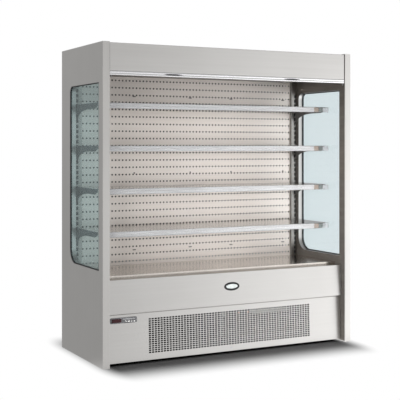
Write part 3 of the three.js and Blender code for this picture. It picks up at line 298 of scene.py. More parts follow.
def field(tree, size, detail=2.0, seed=0.0):
    """Noise from 0 to 1 in object space. Its features measure size, or (x, y, z), in metres."""
    sizes = size if isinstance(size, tuple) else (size, size, size)
    scaled = add(tree, "Mapping", {
        "Vector": add(tree, "TexCoord").outputs["Object"], "Location": (seed, seed * 1.7, seed * 0.6),
        "Scale": tuple(1 / s for s in sizes)})
    noise = add(tree, "TexNoise", {
        "Vector": scaled.outputs[0], "Scale": 1.0, "Detail": detail, "Roughness": 0.55})
    return mapped(tree, noise.outputs["Fac"], 0.3, 0.7)


def mixed_color(tree, factor, a, b):
    made = add(tree, "Mix", {0: factor}, data_type="RGBA")
    for index, value in ((6, a), (7, b)):
        if isinstance(value, bpy.types.NodeSocket):
            tree.links.new(value, made.inputs[index])
        else:
            made.inputs[index].default_value = (*value, 1)
    return made.outputs[2]


def edge_mask(tree, radius):
    """1 along the edges of a piece, 0 on its faces."""
    rounded = add(tree, "Bevel", {"Radius": radius}, samples=4)
    flat = add(tree, "NewGeometry")
    agreement = vector_of(tree, "DOT_PRODUCT", rounded.outputs[0], flat.outputs["Normal"])
    return mapped(tree, agreement, 0.995, 0.85)


def turned_away(tree):
    """0 where a surface is seen square on, 1 where it is seen at a grazing angle."""
    return mapped(tree, add(tree, "LayerWeight", {"Blend": 0.5}).outputs["Facing"], 0.3, 0.7)


def finish(name, slot, dark, light, gloss, metallic, tone_fields, gloss_fields, reliefs, worn=None,
           sockets=None):
    """A material. Its tone and gloss run from the first to the second value with their fields, a plain size or
    a list of (size, weight) and (size, weight, detail). Without tone_fields the tone turns with the angle of
    view, as a tint does. reliefs are (size, height), and worn is (width, color, roughness, share)."""
    material = bpy.data.materials.new(name)
    material.use_nodes = True
    tree = material.node_tree
    shader = tree.nodes["Principled BSDF"]
    seed = len(FINISHES) * 3.1

    def total(fields):
        summed = None
        rows = fields if isinstance(fields, list) else [(fields, 1.0)]
        for i, (size, weight, *detail) in enumerate(rows):
            part = math_of(tree, "MULTIPLY", field(tree, size, *(detail or (2.0,)), seed + 5 * i), weight)
            summed = part if summed is None else math_of(tree, "ADD", summed, part)
        return summed

    color = mixed_color(tree, total(tone_fields) if tone_fields else turned_away(tree), dark, light)
    rough = mapped(tree, total(gloss_fields), 0.0, 1.0, *gloss)
    if worn:
        width, worn_color, worn_rough, share = worn
        patches = mapped(tree, field(tree, EDGE_WEAR), 0.0, 1.0, share * 0.3, share)
        patchy = math_of(tree, "MULTIPLY", edge_mask(tree, width), patches)
        color = mixed_color(tree, patchy, color, worn_color)
        rough = add(tree, "Mix", {0: patchy, 2: rough, 3: worn_rough}).outputs[0]
    tree.links.new(color, shader.inputs["Base Color"])
    tree.links.new(rough, shader.inputs["Roughness"])
    shader.inputs["Metallic"].default_value = metallic
    normal = None
    for i, (size, height) in enumerate(reliefs):
        heights = field(tree, size, 2.0, seed + 11 * i)
        bump = add(tree, "Bump", {"Height": heights, "Distance": height, "Strength": 1.0})
        if normal is not None:
            tree.links.new(normal, bump.inputs["Normal"])
        normal = bump.outputs[0]
    tree.links.new(normal, shader.inputs["Normal"])
    for key, value in (sockets or {}).items():
        shader.inputs[key].default_value = value
    FINISHES[name] = material
    return material


STEELS = (  # name, slot, brushed along, dark and light tone, gloss, metallic share, worn edges
    ("satin_across", "satin_steel", "x", (0.575, 0.563, 0.548), (0.635, 0.625, 0.610), (0.27, 0.39), 1.0,
     (0.002, (0.74, 0.73, 0.72), 0.2, 0.7)),
    ("satin_upright", "satin_steel", "z", (0.575, 0.563, 0.545), (0.640, 0.628, 0.610), (0.27, 0.40), 1.0,
     (0.002, (0.72, 0.71, 0.70), 0.2, 0.7)),
    ("polished", "bright_steel", "x", (0.64, 0.63, 0.61), (0.70, 0.69, 0.67), (0.09, 0.20), 1.0,
     (0.0015, (0.78, 0.77, 0.76), 0.1, 0.6)),
    ("deck_steel", "bright_steel", "x", (0.63, 0.59, 0.545), (0.73, 0.69, 0.64), (0.14, 0.26), 1.0,
     (0.0015, (0.66, 0.64, 0.61), 0.15, 0.6)),
    ("shelf_pan", "satin_steel", "x", (0.62, 0.61, 0.59), (0.68, 0.67, 0.65), (0.12, 0.24), 1.0,
     (0.0015, (0.76, 0.75, 0.74), 0.15, 0.6)),
    ("drawn_aluminium", "bright_aluminium", "x", (0.76, 0.76, 0.77), (0.84, 0.84, 0.85), (0.16, 0.28), 1.0,
     None),
    ("strip_insert", "bright_aluminium", "x", (0.53, 0.52, 0.52), (0.60, 0.59, 0.59), (0.28, 0.40), 0.2,
     None),
    ("liner", "liner_steel", "x", (0.780, 0.715, 0.665), (0.880, 0.815, 0.765), (0.30, 0.42), 0.5,
     (0.0012, (0.55, 0.52, 0.50), 0.3, 0.5)),
)
for name, slot, along, dark, light, gloss, metallic, worn in STEELS:
    fine = tuple(0.22 if axis == along else 0.0008 for axis in "xyz")
    coarse = tuple(1.1 if axis == along else 0.016 for axis in "xyz")
    finish(name, slot, dark, light, gloss, metallic, [(fine, 0.35), (coarse, 0.35), (CLOUD, 0.3)],
           [(fine, 0.4), (coarse, 0.25), (SMUDGE, 0.35, 4.0)], [(fine, 0.000012), (CLOUD, 0.0004)], worn)

PEEL = 0.0025
GRAIN = 0.0009
WARP = (0.3, 0.0009, 0.0009)
WEFT = (0.0009, 0.0009, 0.3)
OTHER_FINISHES = (  # as finish takes them
    ("galvanised", "galvanised_steel", (0.44, 0.45, 0.46), (0.60, 0.61, 0.62), (0.32, 0.52), 1.0,
     [(0.006, 0.7, 0.0), (CLOUD, 0.3)], [(0.008, 0.7, 0.0), (SMUDGE, 0.3, 4.0)], [(0.007, 0.00006)],
     (0.0015, (0.68, 0.68, 0.69), 0.3, 0.5)),
    ("upright_coat", "galvanised_steel", (0.36, 0.345, 0.325), (0.48, 0.465, 0.44), (0.3, 0.46), 1.0,
     [(0.006, 0.6, 0.0), (CLOUD, 0.4)], [(0.008, 0.7, 0.0), (SMUDGE, 0.3, 4.0)], [(0.007, 0.00005)],
     (0.0012, (0.66, 0.65, 0.64), 0.3, 0.6)),
    ("zinc", "galvanised_steel", (0.50, 0.51, 0.53), (0.64, 0.65, 0.66), (0.22, 0.38), 1.0,
     0.02, [(0.01, 1.0, 4.0)], [(0.002, 0.00002)], (0.001, (0.36, 0.33, 0.30), 0.5, 0.6)),
    ("fins", "fin_aluminium", (0.60, 0.61, 0.62), (0.75, 0.76, 0.77), (0.30, 0.50), 1.0,
     (0.05, 0.01, 0.05), 0.02, [((0.02, 0.006, 0.02), 0.0001)]),
    ("copper", "fin_aluminium", (0.62, 0.30, 0.18), (0.78, 0.42, 0.28), (0.24, 0.42), 1.0,
     [(0.03, 1.0, 4.0)], 0.02, [(0.004, 0.00003)]),
    ("painted_bracket", "dark_steel", (0.085, 0.082, 0.078), (0.125, 0.120, 0.113), (0.34, 0.5), 0.4,
     [(0.05, 1.0, 4.0)], [(0.03, 1.0, 4.0)], [(PEEL, 0.00004)], (0.0012, (0.42, 0.41, 0.40), 0.3, 0.7)),
    # painted shade: the dark tone of the inside walls and ceiling, which stand in shade
    ("painted_shade_liner", "dark_steel", (0.115, 0.103, 0.091), (0.170, 0.155, 0.139), (0.30, 0.46), 0.5,
     [((0.3, 0.3, 0.02), 0.6), (CLOUD, 0.4)], [(SMUDGE, 0.7, 4.0), ((0.3, 0.3, 0.004), 0.3)],
     [(PEEL, 0.00003)], (0.0012, (0.30, 0.28, 0.26), 0.35, 0.5)),
    # black paint of the machines, also used as painted shade behind slots and holes
    ("machine_black_and_shade", "dark_steel", (0.018, 0.018, 0.019), (0.040, 0.040, 0.042), (0.34, 0.56), 0.0,
     [(0.04, 1.0, 4.0)], [(0.02, 1.0, 4.0)], [(PEEL, 0.00006)], (0.0015, (0.20, 0.19, 0.18), 0.45, 0.6)),
    ("rubber", "black_rubber", (0.012, 0.012, 0.013), (0.030, 0.030, 0.031), (0.55, 0.78), 0.0,
     [(0.02, 1.0, 4.0)], 0.01, [(0.0012, 0.00004)]),
    ("tyre", "black_rubber", (0.045, 0.045, 0.047), (0.085, 0.085, 0.085), (0.6, 0.85), 0.0,
     [(0.008, 1.0, 4.0)], 0.006, [(0.0015, 0.0001)]),
    ("moulded_dark", "dark_plastic", (0.042, 0.042, 0.045), (0.072, 0.071, 0.073), (0.38, 0.55), 0.0,
     [(0.03, 1.0, 4.0)], [(0.015, 1.0, 4.0)], [(GRAIN, 0.00003)], (0.0008, (0.14, 0.14, 0.14), 0.35, 0.5)),
    ("housing_grey", "dark_plastic", (0.13, 0.13, 0.137), (0.19, 0.19, 0.197), (0.34, 0.5), 0.0,
     [(0.03, 1.0, 4.0)], [(0.015, 1.0, 4.0)], [(GRAIN, 0.00003)], (0.0008, (0.30, 0.30, 0.30), 0.35, 0.5)),
    # a brown patch of painted shade: the front lip's shade seen through the clear strip
    ("lip_shade_patch", "dark_plastic", (0.33, 0.26, 0.21), (0.45, 0.37, 0.31), (0.3, 0.45), 0.0,
     0.01, 0.01, [(GRAIN, 0.00002)]),
    ("holder_pale", "white_plastic", (0.42, 0.43, 0.43), (0.58, 0.59, 0.60), (0.2, 0.34), 0.0,
     0.01, 0.01, [(GRAIN, 0.00002)]),
    ("holder_grey", "dark_plastic", (0.16, 0.18, 0.17), (0.24, 0.26, 0.25), (0.3, 0.45), 0.0,
     0.01, 0.01, [(GRAIN, 0.00002)]),
    ("moulded_white", "white_plastic", (0.72, 0.72, 0.70), (0.82, 0.82, 0.80), (0.28, 0.42), 0.0,
     [(0.05, 1.0, 4.0)], 0.02, [(0.0012, 0.00002)]),
    ("honeycomb", "dark_plastic", (0.10, 0.10, 0.10), (0.16, 0.16, 0.16), (0.4, 0.6), 0.0,
     (0.06, 0.03, 0.03), 0.02, [(0.001, 0.00002)]),
    ("lens", "display_lens", (0.030, 0.007, 0.009), (0.055, 0.012, 0.015), (0.05, 0.12), 0.0,
     (0.02, 0.02, 0.01), 0.01, [(0.02, 0.00002)], None, {"Specular IOR Level": 0.3}),
    ("badge_face", "bright_steel", (0.58, 0.62, 0.61), (0.68, 0.72, 0.71), (0.2, 0.34), 0.15,
     [(0.02, 1.0, 3.0)], 0.012, [(0.01, 0.00004)], None, {"Coat Weight": 0.6, "Coat Roughness": 0.08}),
    # A coated woven blind cloth: crossed threads at a 0.9 mm pitch over slow shading
    ("woven", "blind_fabric", (0.48, 0.49, 0.50), (0.60, 0.61, 0.62), (0.7, 0.9), 0.0,
     [(WARP, 0.4), (WEFT, 0.4), (CLOUD, 0.2)], SMUDGE, [(WARP, 0.0001), (WEFT, 0.0001)], None,
     {"Sheen Weight": 0.1, "Sheen Roughness": 0.5, "Specular IOR Level": 0.2}),
)
for row in OTHER_FINISHES:
    finish(*row)


def make_clear(name, slot, square, grazing, gloss, ior, body=0.0):
    """Glass or clear plastic that lets light through to what stands behind it. Its tint deepens from a square
    view to a grazing one, as the way through it grows. body is the share of tint that it scatters itself."""
    tree = finish(name, slot, square, grazing, gloss, 0.0, None, [(0.12, 1.0, 4.0)], [(0.4, 0.0001)],
                  None, {"Transmission Weight": 1.0 - body, "IOR": ior}).node_tree
    path = add(tree, "LightPath").outputs
    soft = math_of(tree, "MAXIMUM", path["Is Shadow Ray"], path["Is Diffuse Ray"])
    pale, deep = (add(tree, "BsdfTransparent", {"Color": (*(c ** power for c in square), 1)})
                  for power in (0.25, 0.6))
    first = add(tree, "MixShader", {0: soft, 1: tree.nodes["Principled BSDF"].outputs[0], 2: deep.outputs[0]})
    second = add(tree, "MixShader", {0: after_metal(tree, path), 1: first.outputs[0], 2: pale.outputs[0]})
    tree.links.new(second.outputs[0], tree.nodes["Material Output"].inputs["Surface"])


make_clear("tinted_glass", "window_glass", (0.73, 0.78, 0.805), (0.50, 0.77, 0.78), (0.01, 0.03), 1.22, 0.03)
make_clear("clear_plastic", "window_glass", (0.93, 0.94, 0.95), (0.86, 0.88, 0.90), (0.06, 0.12), 1.47)

FINISH_OF_SLOT = {
    "satin_steel": "satin_across", "bright_steel": "polished", "bright_aluminium": "drawn_aluminium",
    "galvanised_steel": "galvanised", "liner_steel": "liner", "dark_steel": "painted_bracket",
    "fin_aluminium": "fins", "black_rubber": "rubber", "dark_plastic": "moulded_dark",
    "white_plastic": "moulded_white", "display_lens": "lens", "window_glass": "tinted_glass",
    "blind_fabric": "woven",
}

# ---------------- mesh helpers

BEVEL_ANGLE = 40  # degrees
CREASE = 0.5  # radians


def add_bevel(piece, width, segments=2, limit="ANGLE"):
    modifier = piece.modifiers.new("edges", "BEVEL")
    modifier.width = width
    modifier.segments = segments
    modifier.limit_method = limit
    modifier.angle_limit = radians(BEVEL_ANGLE)
    modifier.harden_normals = True


def add_piece(name, bm, finish_name, node=None, body="cabinet", bevel=0.0, segments=2, limit="ANGLE",
              sharp=38):
    """An object from a closed mesh, with its finish, that rides on a body and takes the place of a CAD node.
    Without a body it is left free."""
    bmesh.ops.recalc_face_normals(bm, faces=bm.faces)
    mesh = bpy.data.meshes.new(name)
    bm.to_mesh(mesh)
    bm.free()
    mesh.shade_smooth()
    mesh.set_sharp_from_angle(angle=radians(sharp))
    mesh.materials.append(FINISHES[finish_name])
    piece = put(name, mesh)
    if bevel:
        add_bevel(piece, bevel, segments, limit)
    piece.modifiers.new("normals", "WEIGHTED_NORMAL").keep_sharp = True
    if body:
        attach(piece, body)
    if node:
        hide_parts(node)
    return piece


def steps(low, high, count):
    return [low + (high - low) * i / count for i in range(count + 1)]


def middle_of(low, high):
    return Vector((a + b) / 2 for a, b in zip(low, high))


def thick_sheet(faces, place, thickness, bm=None):
    """A closed sheet. faces are outlines of (u, v) points that share their corners, and place(u, v, w) puts a
    point in space at depth w under the face."""
    bm = bm or bmesh.new()
    front, back = {}, {}

    def vertex(store, point, depth):
        key = (round(point[0], 6), round(point[1], 6))
        if key not in store:
            store[key] = bm.verts.new(place(*point, depth))
        return store[key]

    upper = [bm.faces.new([vertex(front, p, 0.0) for p in face]) for face in faces]
    for face in faces:
        bm.faces.new([vertex(back, p, thickness) for p in reversed(face)])
    under = {front[key]: back[key] for key in front}
    for face in upper:
        for loop in face.loops:
            if len(loop.edge.link_faces) == 1:
                a, b = loop.vert, loop.link_loop_next.vert
                bm.faces.new((b, a, under[a], under[b]))
    return bm


def oval(u, v, width, height, power=2.0, count=16):
    """A ring round (u, v) that starts at its lower left. A higher power makes it squarer."""
    points = []
    for t in range(count):
        angle = radians(-135 + 360 * t / count)
        c, s = cos(angle), sin(angle)
        size = (abs(c) ** power + abs(s) ** power) ** (-1 / power)
        points.append((u + width / 2 * c * size, v + height / 2 * s * size))
    return points


def grid(us, vs, hole=None):
    """Outlines of a grid of cells. hole(i, j) gives a cell's ring of 8 or 16 points, None for a plain cell, or
    () for no sheet there."""
    faces = []
    for i, (u0, u1) in enumerate(pairwise(us)):
        for j, (v0, v1) in enumerate(pairwise(vs)):
            um, vm = (u0 + u1) / 2, (v0 + v1) / 2
            rim = [(u0, v0), (um, v0), (u1, v0), (u1, vm), (u1, v1), (um, v1), (u0, v1), (u0, vm)]
            ring = hole(i, j) if hole else None
            if ring is None:
                faces.append(rim)
            elif ring:
                k = len(ring) // 8
                for s in range(8):
                    inner = [ring[(s * k + t) % len(ring)] for t in range(k, -1, -1)]
                    faces.append([rim[s], rim[(s + 1) % 8], *inner])
    return faces


def perforated(us, vs, columns, rows, width, height, power):
    """A grid with an oval hole in the middle of each cell that is in the columns and in the rows."""
    def hole(i, j):
        if i in columns and j in rows:
            return oval((us[i] + us[i + 1]) / 2, (vs[j] + vs[j + 1]) / 2, width, height, power)

    return grid(us, vs, hole)


class Fold:
    """The path of a folded sheet's outer face, with round bends. The sheet lies on its left."""

    def __init__(self, corners, radius=BEND, bend_steps=BEND_STEPS):
        points = [Vector(corners[0])]
        for before, corner, after in zip(corners, corners[1:], corners[2:]):
            a, p, b = Vector(before), Vector(corner), Vector(after)
            to_a, to_b = (a - p).normalized(), (b - p).normalized()
            half = to_a.angle(to_b) / 2
            reach = min(radius / tan(half), (a - p).length * 0.49, (b - p).length * 0.49)
            centre = p + (to_a + to_b).normalized() * (reach / cos(half))
            start, end = p + to_a * reach - centre, p + to_b * reach - centre
            for i in range(bend_steps + 1):
                points.append(centre + start.slerp(end, i / bend_steps) * start.length)
        self.points = [*points, Vector(corners[-1])]
        spans = [b - a for a, b in pairwise(self.points)]
        self.stations = [0.0, *accumulate(s.length for s in spans)]
        normals = [Vector((-s.y, s.x)).normalized() for s in spans]
        self.miters = []
        for n0, n1 in zip([normals[0], *normals], [*normals, normals[-1]]):
            middle = (n0 + n1).normalized()
            self.miters.append(middle / middle.dot(n0))

    def at(self, v, w=0.0):
        """The point at a distance v along the face and w under it."""
        k = 0
        while k < len(self.stations) - 2 and v > self.stations[k + 1] + CLOSE:
            k += 1
        t = (v - self.stations[k]) / (self.stations[k + 1] - self.stations[k])
        a = self.points[k] + self.miters[k] * w
        b = self.points[k + 1] + self.miters[k + 1] * w
        return a.lerp(b, t)

    def where(self, index, value):
        """The distance along the path at which a coordinate first reaches a value."""
        for start, end, a, b in zip(self.stations, self.stations[1:], self.points, self.points[1:]):
            low, high = sorted((a[index], b[index]))
            if low - CLOSE <= value <= high + CLOSE and high - low > CLOSE:
                return start + (value - a[index]) / (b[index] - a[index]) * (end - start)
        raise ValueError(f"the path never reaches {value}")


def folded(path, us, thickness, hole=None, bm=None):
    """A folded sheet along X, from its path in (y, z)."""
    return thick_sheet(grid(us, path.stations, hole), lambda u, v, w: (u, *path.at(v, w)), thickness, bm)


def front_cover(node, corners):
    """A folded steel sheet across the cabinet's front."""
    bm = folded(Fold(corners), steps(-COVER_HALF, COVER_HALF, 4), SHEET)
    add_piece(f"{node}_sheet", bm, "satin_across", node)


def loft(rings, bm=None, cyclic=False):
    """A closed surface through rings of as many points each, with flat ends or joined end to end."""
    bm = bm or bmesh.new()
    rows = [[bm.verts.new(p) for p in ring] for ring in rings]
    for a, b in zip(rows, rows[1:] + rows[:1] if cyclic else rows[1:]):
        for k in range(len(a)):
            n = (k + 1) % len(a)
            bm.faces.new((a[k], a[n], b[n], b[k]))
    if not cyclic:
        bm.faces.new(rows[0][::-1])
        bm.faces.new(rows[-1])
    return bm


def plate(place, u, v, width, height, levels, power=2.0, count=32, bm=None, cyclic=False):
    """An oval plate round (u, v), through levels (inset, rise). place(u, v, rise) puts a point in space."""
    rings = [[place(*p, rise) for p in oval(u, v, width - 2 * inset, height - 2 * inset, power, count)]
             for inset, rise in levels]
    return loft(rings, bm, cyclic)


def blocks(corners, bm=None, matrix=Matrix()):
    """Boxes, each from its low to its high corner."""
    for (x0, y0, z0), (x1, y1, z1) in corners:
        rings = [[matrix @ Vector((x, y, z)) for x, y in ((x0, y0), (x1, y0), (x1, y1), (x0, y1))]
                 for z in (z0, z1)]
        bm = loft(rings, bm)
    return bm


def box_piece(name, corners, finish_name, node=None, body="cabinet", bevel=FINE_EDGE):
    add_piece(name, blocks(corners), finish_name, node, body, bevel)


def turned(profile, matrix, bm=None, count=40, cyclic=False):
    """A turned form about the matrix's Z axis, from (radius, height) points."""
    angles = [2 * pi * k / count for k in range(count)]
    rings = [[matrix @ Vector((r * cos(a), r * sin(a), h)) for a in angles] for r, h in profile]
    return loft(rings, bm, cyclic)


def tube(points, radius, bm, sides=10):
    """A round tube through points, with closed ends."""
    rings = []
    normal = None
    for before, p, after in zip([points[0], *points], points, [*points[1:], points[-1]]):
        direction = (Vector(after) - Vector(before)).normalized()
        if normal is None:
            normal = direction.orthogonal().normalized()
        normal = (normal - direction * normal.dot(direction)).normalized()
        side = direction.cross(normal)
        rings.append([Vector(p) + (normal * cos(a) + side * sin(a)) * radius
                      for a in (2 * pi * k / sides for k in range(sides))])
    return loft(rings, bm)


def facing(place, toward):
    """A matrix at a place whose Z axis points toward a direction."""
    return Matrix.Translation(place) @ Vector(toward).to_track_quat("Z", "Y").to_matrix().to_4x4()


def screws(name, places, toward, radius, height, finish_name="zinc", body="cabinet"):
    """Pan heads with a shallow drive recess."""
    bm = bmesh.new()
    head = [(1, 0.0), (1, 0.35), (0.82, 0.8), (0.5, 1), (0.34, 1), (0.28, 0.5)]
    for place in places:
        turned([(radius * r, height * h) for r, h in head], facing(place, toward), bm, 14)
    add_piece(name, bm, finish_name, body=body)


# ---------------- end panels and windows


def window_outline(inset):
    """The window in (y, z), drawn in by an inset: from its front middle round by the sill and the rear to the
    head."""
    front, rear = WINDOW_FRONT + inset, WINDOW_REAR - inset
    sill, head = WINDOW_SILL + inset, WINDOW_HEAD - inset
    middle = (sill + head) / 2
    low, high = WINDOW_LOW_RADIUS - inset, WINDOW_HIGH_RADIUS - inset

    def arc(y, z, radius, start):
        return [(y + radius * cos(a), z + radius * sin(a))
                for a in map(radians, steps(start, start + 90, 14))]

    lower = [(front, middle), (front, sill), *arc(rear - low, sill + low, low, -90), (rear, middle)]
    return lower, [*arc(rear - high, head - high, high, 0), (front, head)]


def pierced_plate(margin):
    """Two outlines that make up an end panel, drawn in by a margin, with the window cut out of it."""
    y0, y1, z0, z1 = FRONT + margin, BACK - margin, PANEL_FOOT + margin, TOP - margin
    lower, upper = window_outline(0.0)
    middle = lower[0][1]
    below = [(y0, middle), (y0, z0), (y1, z0), (y1, middle), *reversed(lower)]
    return below, [(y1, middle), (y1, z1), (y0, z1), (y0, middle), lower[0], *reversed(upper), lower[-1]]


def end_panel(word, side):
    node = f"{word}_end_panel"
    shell = thick_sheet(pierced_plate(0.0), lambda u, v, w: (side * (OUTER - w), u, v),
                        OUTER - INNER - LINER)
    weights = shell.edges.layers.float.new("bevel_weight_edge")
    for edge in shell.edges:
        a, b = (v.co for v in edge.verts)
        if edge.calc_face_angle(0) > CREASE:
            is_post = max(abs(a.y - FRONT), abs(b.y - FRONT), abs(a.x - b.x)) < TINY
            edge[weights] = 1.0 if is_post else EDGE_ROUND / POST_ROUND
    add_piece(f"{node}_shell", shell, "satin_upright", node, bevel=POST_ROUND, segments=4, limit="WEIGHT")
    # the inner face's liner is painted shade: the inside walls read dark from shade and dark reflections
    liner = thick_sheet(pierced_plate(LINER_MARGIN), lambda u, v, w: (side * (INNER + LINER - w), u, v),
                        LINER)
    add_piece(f"{word}_inner_liner", liner, "painted_shade_liner")


def window(word, side):
    def rings(profile):
        for inset, depth in profile:
            lower, upper = window_outline(inset)
            yield [(side * (OUTER - depth), y, z) for y, z in lower + upper]

    add_piece(f"{word}_gasket", loft(rings(SEAL_PROFILE), cyclic=True), "rubber", f"{word}_window_seal")
    add_piece(f"{word}_pane", loft(rings(GLASS_PROFILE)), "tinted_glass", f"{word}_window_glass")


for side_word, side_sign in SIDES:
    end_panel(side_word, side_sign)
    window(side_word, side_sign)

# ---------------- canopy and blind

FASCIA_HEM = 0.005


def canopy_fascia():
    (_, y0, z0), (_, y1, z1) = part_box("canopy_fascia")
    front_cover("canopy_fascia", [(y1, z1), (y0, z1), (y0, z0), (y0 + FASCIA_HEM, z0)])


BAR_LOW, BAR_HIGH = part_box("blind_bar")
BAR_HEIGHT = 0.026
BAR_FOOT = BAR_HIGH.z - BAR_HEIGHT
BAR_MIDDLE = BAR_HIGH.z - BAR_HEIGHT / 2
BAR_GROOVE = 0.002
PULL_OFFSET = 0.44
PULL_LENGTH = 0.125
PULL_HEIGHT = 0.010
PULL_DEPTH = 0.0065
PULL_RIM = [(0.0, 0.0012), (-0.0008, 0.0007), (-0.0016, 0.0012), (-0.0008, 0.0020)]  # inset, depth
PULL_PAD = [(0.0, 0.0060), (0.0, 0.0048), (0.0004, 0.0044)]
HOOK_OFFSET = 0.0095  # in from the bar's end
HOOK_PATH = [  # from the blind bar's lower front corner, back and up
    (0.004, BAR_FOOT - BAR_LOW.z + 0.006), (0.004, 0.007), (0.0045, 0.003), (0.007, 0.0017), (0.0095, 0.003),
    (0.010, 0.006),
]


def blind_bar():
    """An extruded bar with two rounded ridges, a groove between them and two oval finger recesses."""
    half, back, top = BAR_HIGH
    front = BAR_LOW.y

    def ridge(low, high):
        return [(front + BAR_GROOVE * abs(t) ** 4, (low + high) / 2 + t * (high - low) / 2)
                for t in steps(-1, 1, 8)]

    def pressed(x, y, z):
        if y > front + BAR_GROOVE + TINY:
            return y
        away = min(hypot((x - side * PULL_OFFSET) / (PULL_LENGTH / 2), (z - BAR_MIDDLE) / (PULL_HEIGHT / 2))
                   for _, side in SIDES)
        depth = min(1.0, max(0.0, (1.05 - away) / 0.22))
        return y + PULL_DEPTH * depth * depth * (3 - 2 * depth)

    profile = [*ridge(BAR_FOOT, BAR_MIDDLE - 0.0006), (front + BAR_GROOVE, BAR_MIDDLE),
               *ridge(BAR_MIDDLE + 0.0006, top), (back - 0.001, top), (back, top - 0.001),
               (back, BAR_FOOT + 0.001), (back - 0.001, BAR_FOOT)]
    dense = []
    for (ya, za), (yb, zb) in zip(profile, profile[1:] + profile[:1]):
        dense.append((ya, za))
        if ya < front + 0.003 and yb < front + 0.003 and abs(za - BAR_MIDDLE) < 0.008:
            dense.append(((ya + yb) / 2, (za + zb) / 2))
    near = steps(-PULL_LENGTH / 2 - 0.006, PULL_LENGTH / 2 + 0.006, 44)
    stations = sorted([-half, half, -half / 2 - 0.2, half / 2 + 0.2, 0.0,
                       *(side * PULL_OFFSET + x for _, side in SIDES for x in near)])
    rings = [[(x, pressed(x, y, z), z) for y, z in dense] for x in stations]
    add_piece("blind_pull_bar", loft(rings), "drawn_aluminium", "blind_bar", "blind_bar", sharp=50)


def blind_bar_fittings():
    """Bent hooks at the ends of the pull bar, and the rims and pads of its finger recesses."""
    hooks = bmesh.new()
    for _, side in SIDES:
        x = side * (BAR_HIGH.x - HOOK_OFFSET)
        tube([(x, BAR_LOW.y + y, BAR_LOW.z + z) for y, z in HOOK_PATH], 0.0016, hooks)
    add_piece("blind_bar_hooks", hooks, "zinc", body="blind_bar")
    for name, *oval_plate in (("finger_pull_rims", PULL_LENGTH, PULL_HEIGHT, PULL_RIM, 2.0, 48),
                              ("finger_pull_pads", 0.100, 0.0066, PULL_PAD, 2.0, 32)):
        bm = bmesh.new()
        for _, side in SIDES:
            plate(lambda u, v, depth: (u, BAR_LOW.y + depth, v), side * PULL_OFFSET, BAR_MIDDLE,
                  *oval_plate, bm, cyclic=name == "finger_pull_rims")
        add_piece(name, bm, "moulded_dark", body="blind_bar")


ROLLER_LOW, ROLLER_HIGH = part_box("blind_roller")
ROLLER_RADIUS = (ROLLER_HIGH.z - ROLLER_LOW.z) / 2
ROLLER_AXIS = middle_of(ROLLER_LOW, ROLLER_HIGH)
WOUND_HALF = 0.853
WOUND_POINTS = 48
WRAP = 0.0007


def blind_roller():
    """Cloth wound on a tube: a spiral outline with the step of its outer edge, end plugs and spring shaft."""
    def ring(x, radius):
        points = []
        for k in range(WOUND_POINTS):
            a = pi + 2 * pi * k / WOUND_POINTS
            r = radius - WRAP * k / WOUND_POINTS
            points.append(ROLLER_AXIS + Vector((x, r * cos(a), r * sin(a))))
        return points

    rim, edge = WOUND_HALF - 0.0008, ROLLER_RADIUS - 0.003
    ends = ((-WOUND_HALF, edge), (-rim, ROLLER_RADIUS), (rim, ROLLER_RADIUS), (WOUND_HALF, edge))
    rings = [ring(*end) for end in ends]
    add_piece("wound_cloth", loft(rings), "woven", "blind_roller", "blind_roller")
    plugs = bmesh.new()
    shaft = ROLLER_HIGH.x - WOUND_HALF
    for _, side in SIDES:
        turned([(0.016, 0.0), (0.0165, 0.0012), (0.0165, 0.0022), (0.010, 0.003), (0.0048, 0.0036),
                (0.0048, shaft - 0.0008), (0.004, shaft)],
               facing(ROLLER_AXIS + Vector((side * WOUND_HALF, 0, 0)), (side, 0, 0)), plugs, 20)
    add_piece("roller_end_plugs", plugs, "moulded_dark", body="blind_roller")


CLOTH_LOW, CLOTH_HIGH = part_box("blind_cloth")
CLOTH_COLUMNS = 24
CLOTH_ROWS = 48


def blind_cloth():
    """The free stretch of cloth from the roller down to the pull bar."""
    (x0, y0, z0), (x1, y1, z1) = CLOTH_LOW, CLOTH_HIGH
    bm = thick_sheet(grid(steps(x0, x1, CLOTH_COLUMNS), steps(z0, z1, CLOTH_ROWS)),
                     lambda u, v, w: (u, y0 + w, v), y1 - y0)
    cloth = add_piece("night_blind_cloth", bm, "woven", "blind_cloth", body=None)
    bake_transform(cloth)


CELL_PITCH = 0.0125
CELL_WALL = 0.0007
OUTLET_BORDER = 0.003


def air_outlet():
    """Hexagonal honeycomb cells in a slim frame."""
    (x0, y0, z0), (x1, y1, z1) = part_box("air_outlet_honeycomb")
    rise, radius = CELL_PITCH * sqrt(3) / 2, CELL_PITCH / sqrt(3)
    rows = int((y1 - y0 - 2 * OUTLET_BORDER) / rise) - 1
    columns = int((x1 - x0 - 2 * OUTLET_BORDER) / CELL_PITCH) - 1

    def hexagon(x, y, r):
        return [(x + r * cos(a), y + r * sin(a)) for a in map(radians, range(30, 360, 60))]

    faces = []
    for j in range(rows):
        y = (y0 + y1) / 2 - rise * (rows - 1) / 2 + rise * j
        for i in range(columns):
            x = -CELL_PITCH * (columns - 0.5) / 2 + CELL_PITCH * (i + 0.5 * (j % 2))
            rim, ring = hexagon(x, y, radius), hexagon(x, y, radius - CELL_WALL)
            faces += [[rim[k], rim[(k + 1) % 6], ring[(k + 1) % 6], ring[k]] for k in range(6)]
    cells = thick_sheet(faces, lambda u, v, w: (u, v, z0 + 0.0005 + w), z1 - z0 - 0.001)
    add_piece("outlet_cells", cells, "honeycomb", "air_outlet_honeycomb")
    side = (x1 - x0) / 2 - CELL_PITCH * columns / 2 + 0.001
    edge = (y1 - y0) / 2 - rise * rows / 2 + 0.001
    bars = [((x0, y0, z0), (x1, y0 + edge, z1)), ((x0, y1 - edge, z0), (x1, y1, z1)),
            ((x0, y0 + edge, z0), (x0 + side, y1 - edge, z1)),
            ((x1 - side, y0 + edge, z0), (x1, y1 - edge, z1))]
    box_piece("outlet_frame", bars, "moulded_dark", bevel=0.0006)


LAMP_CAP = 0.018


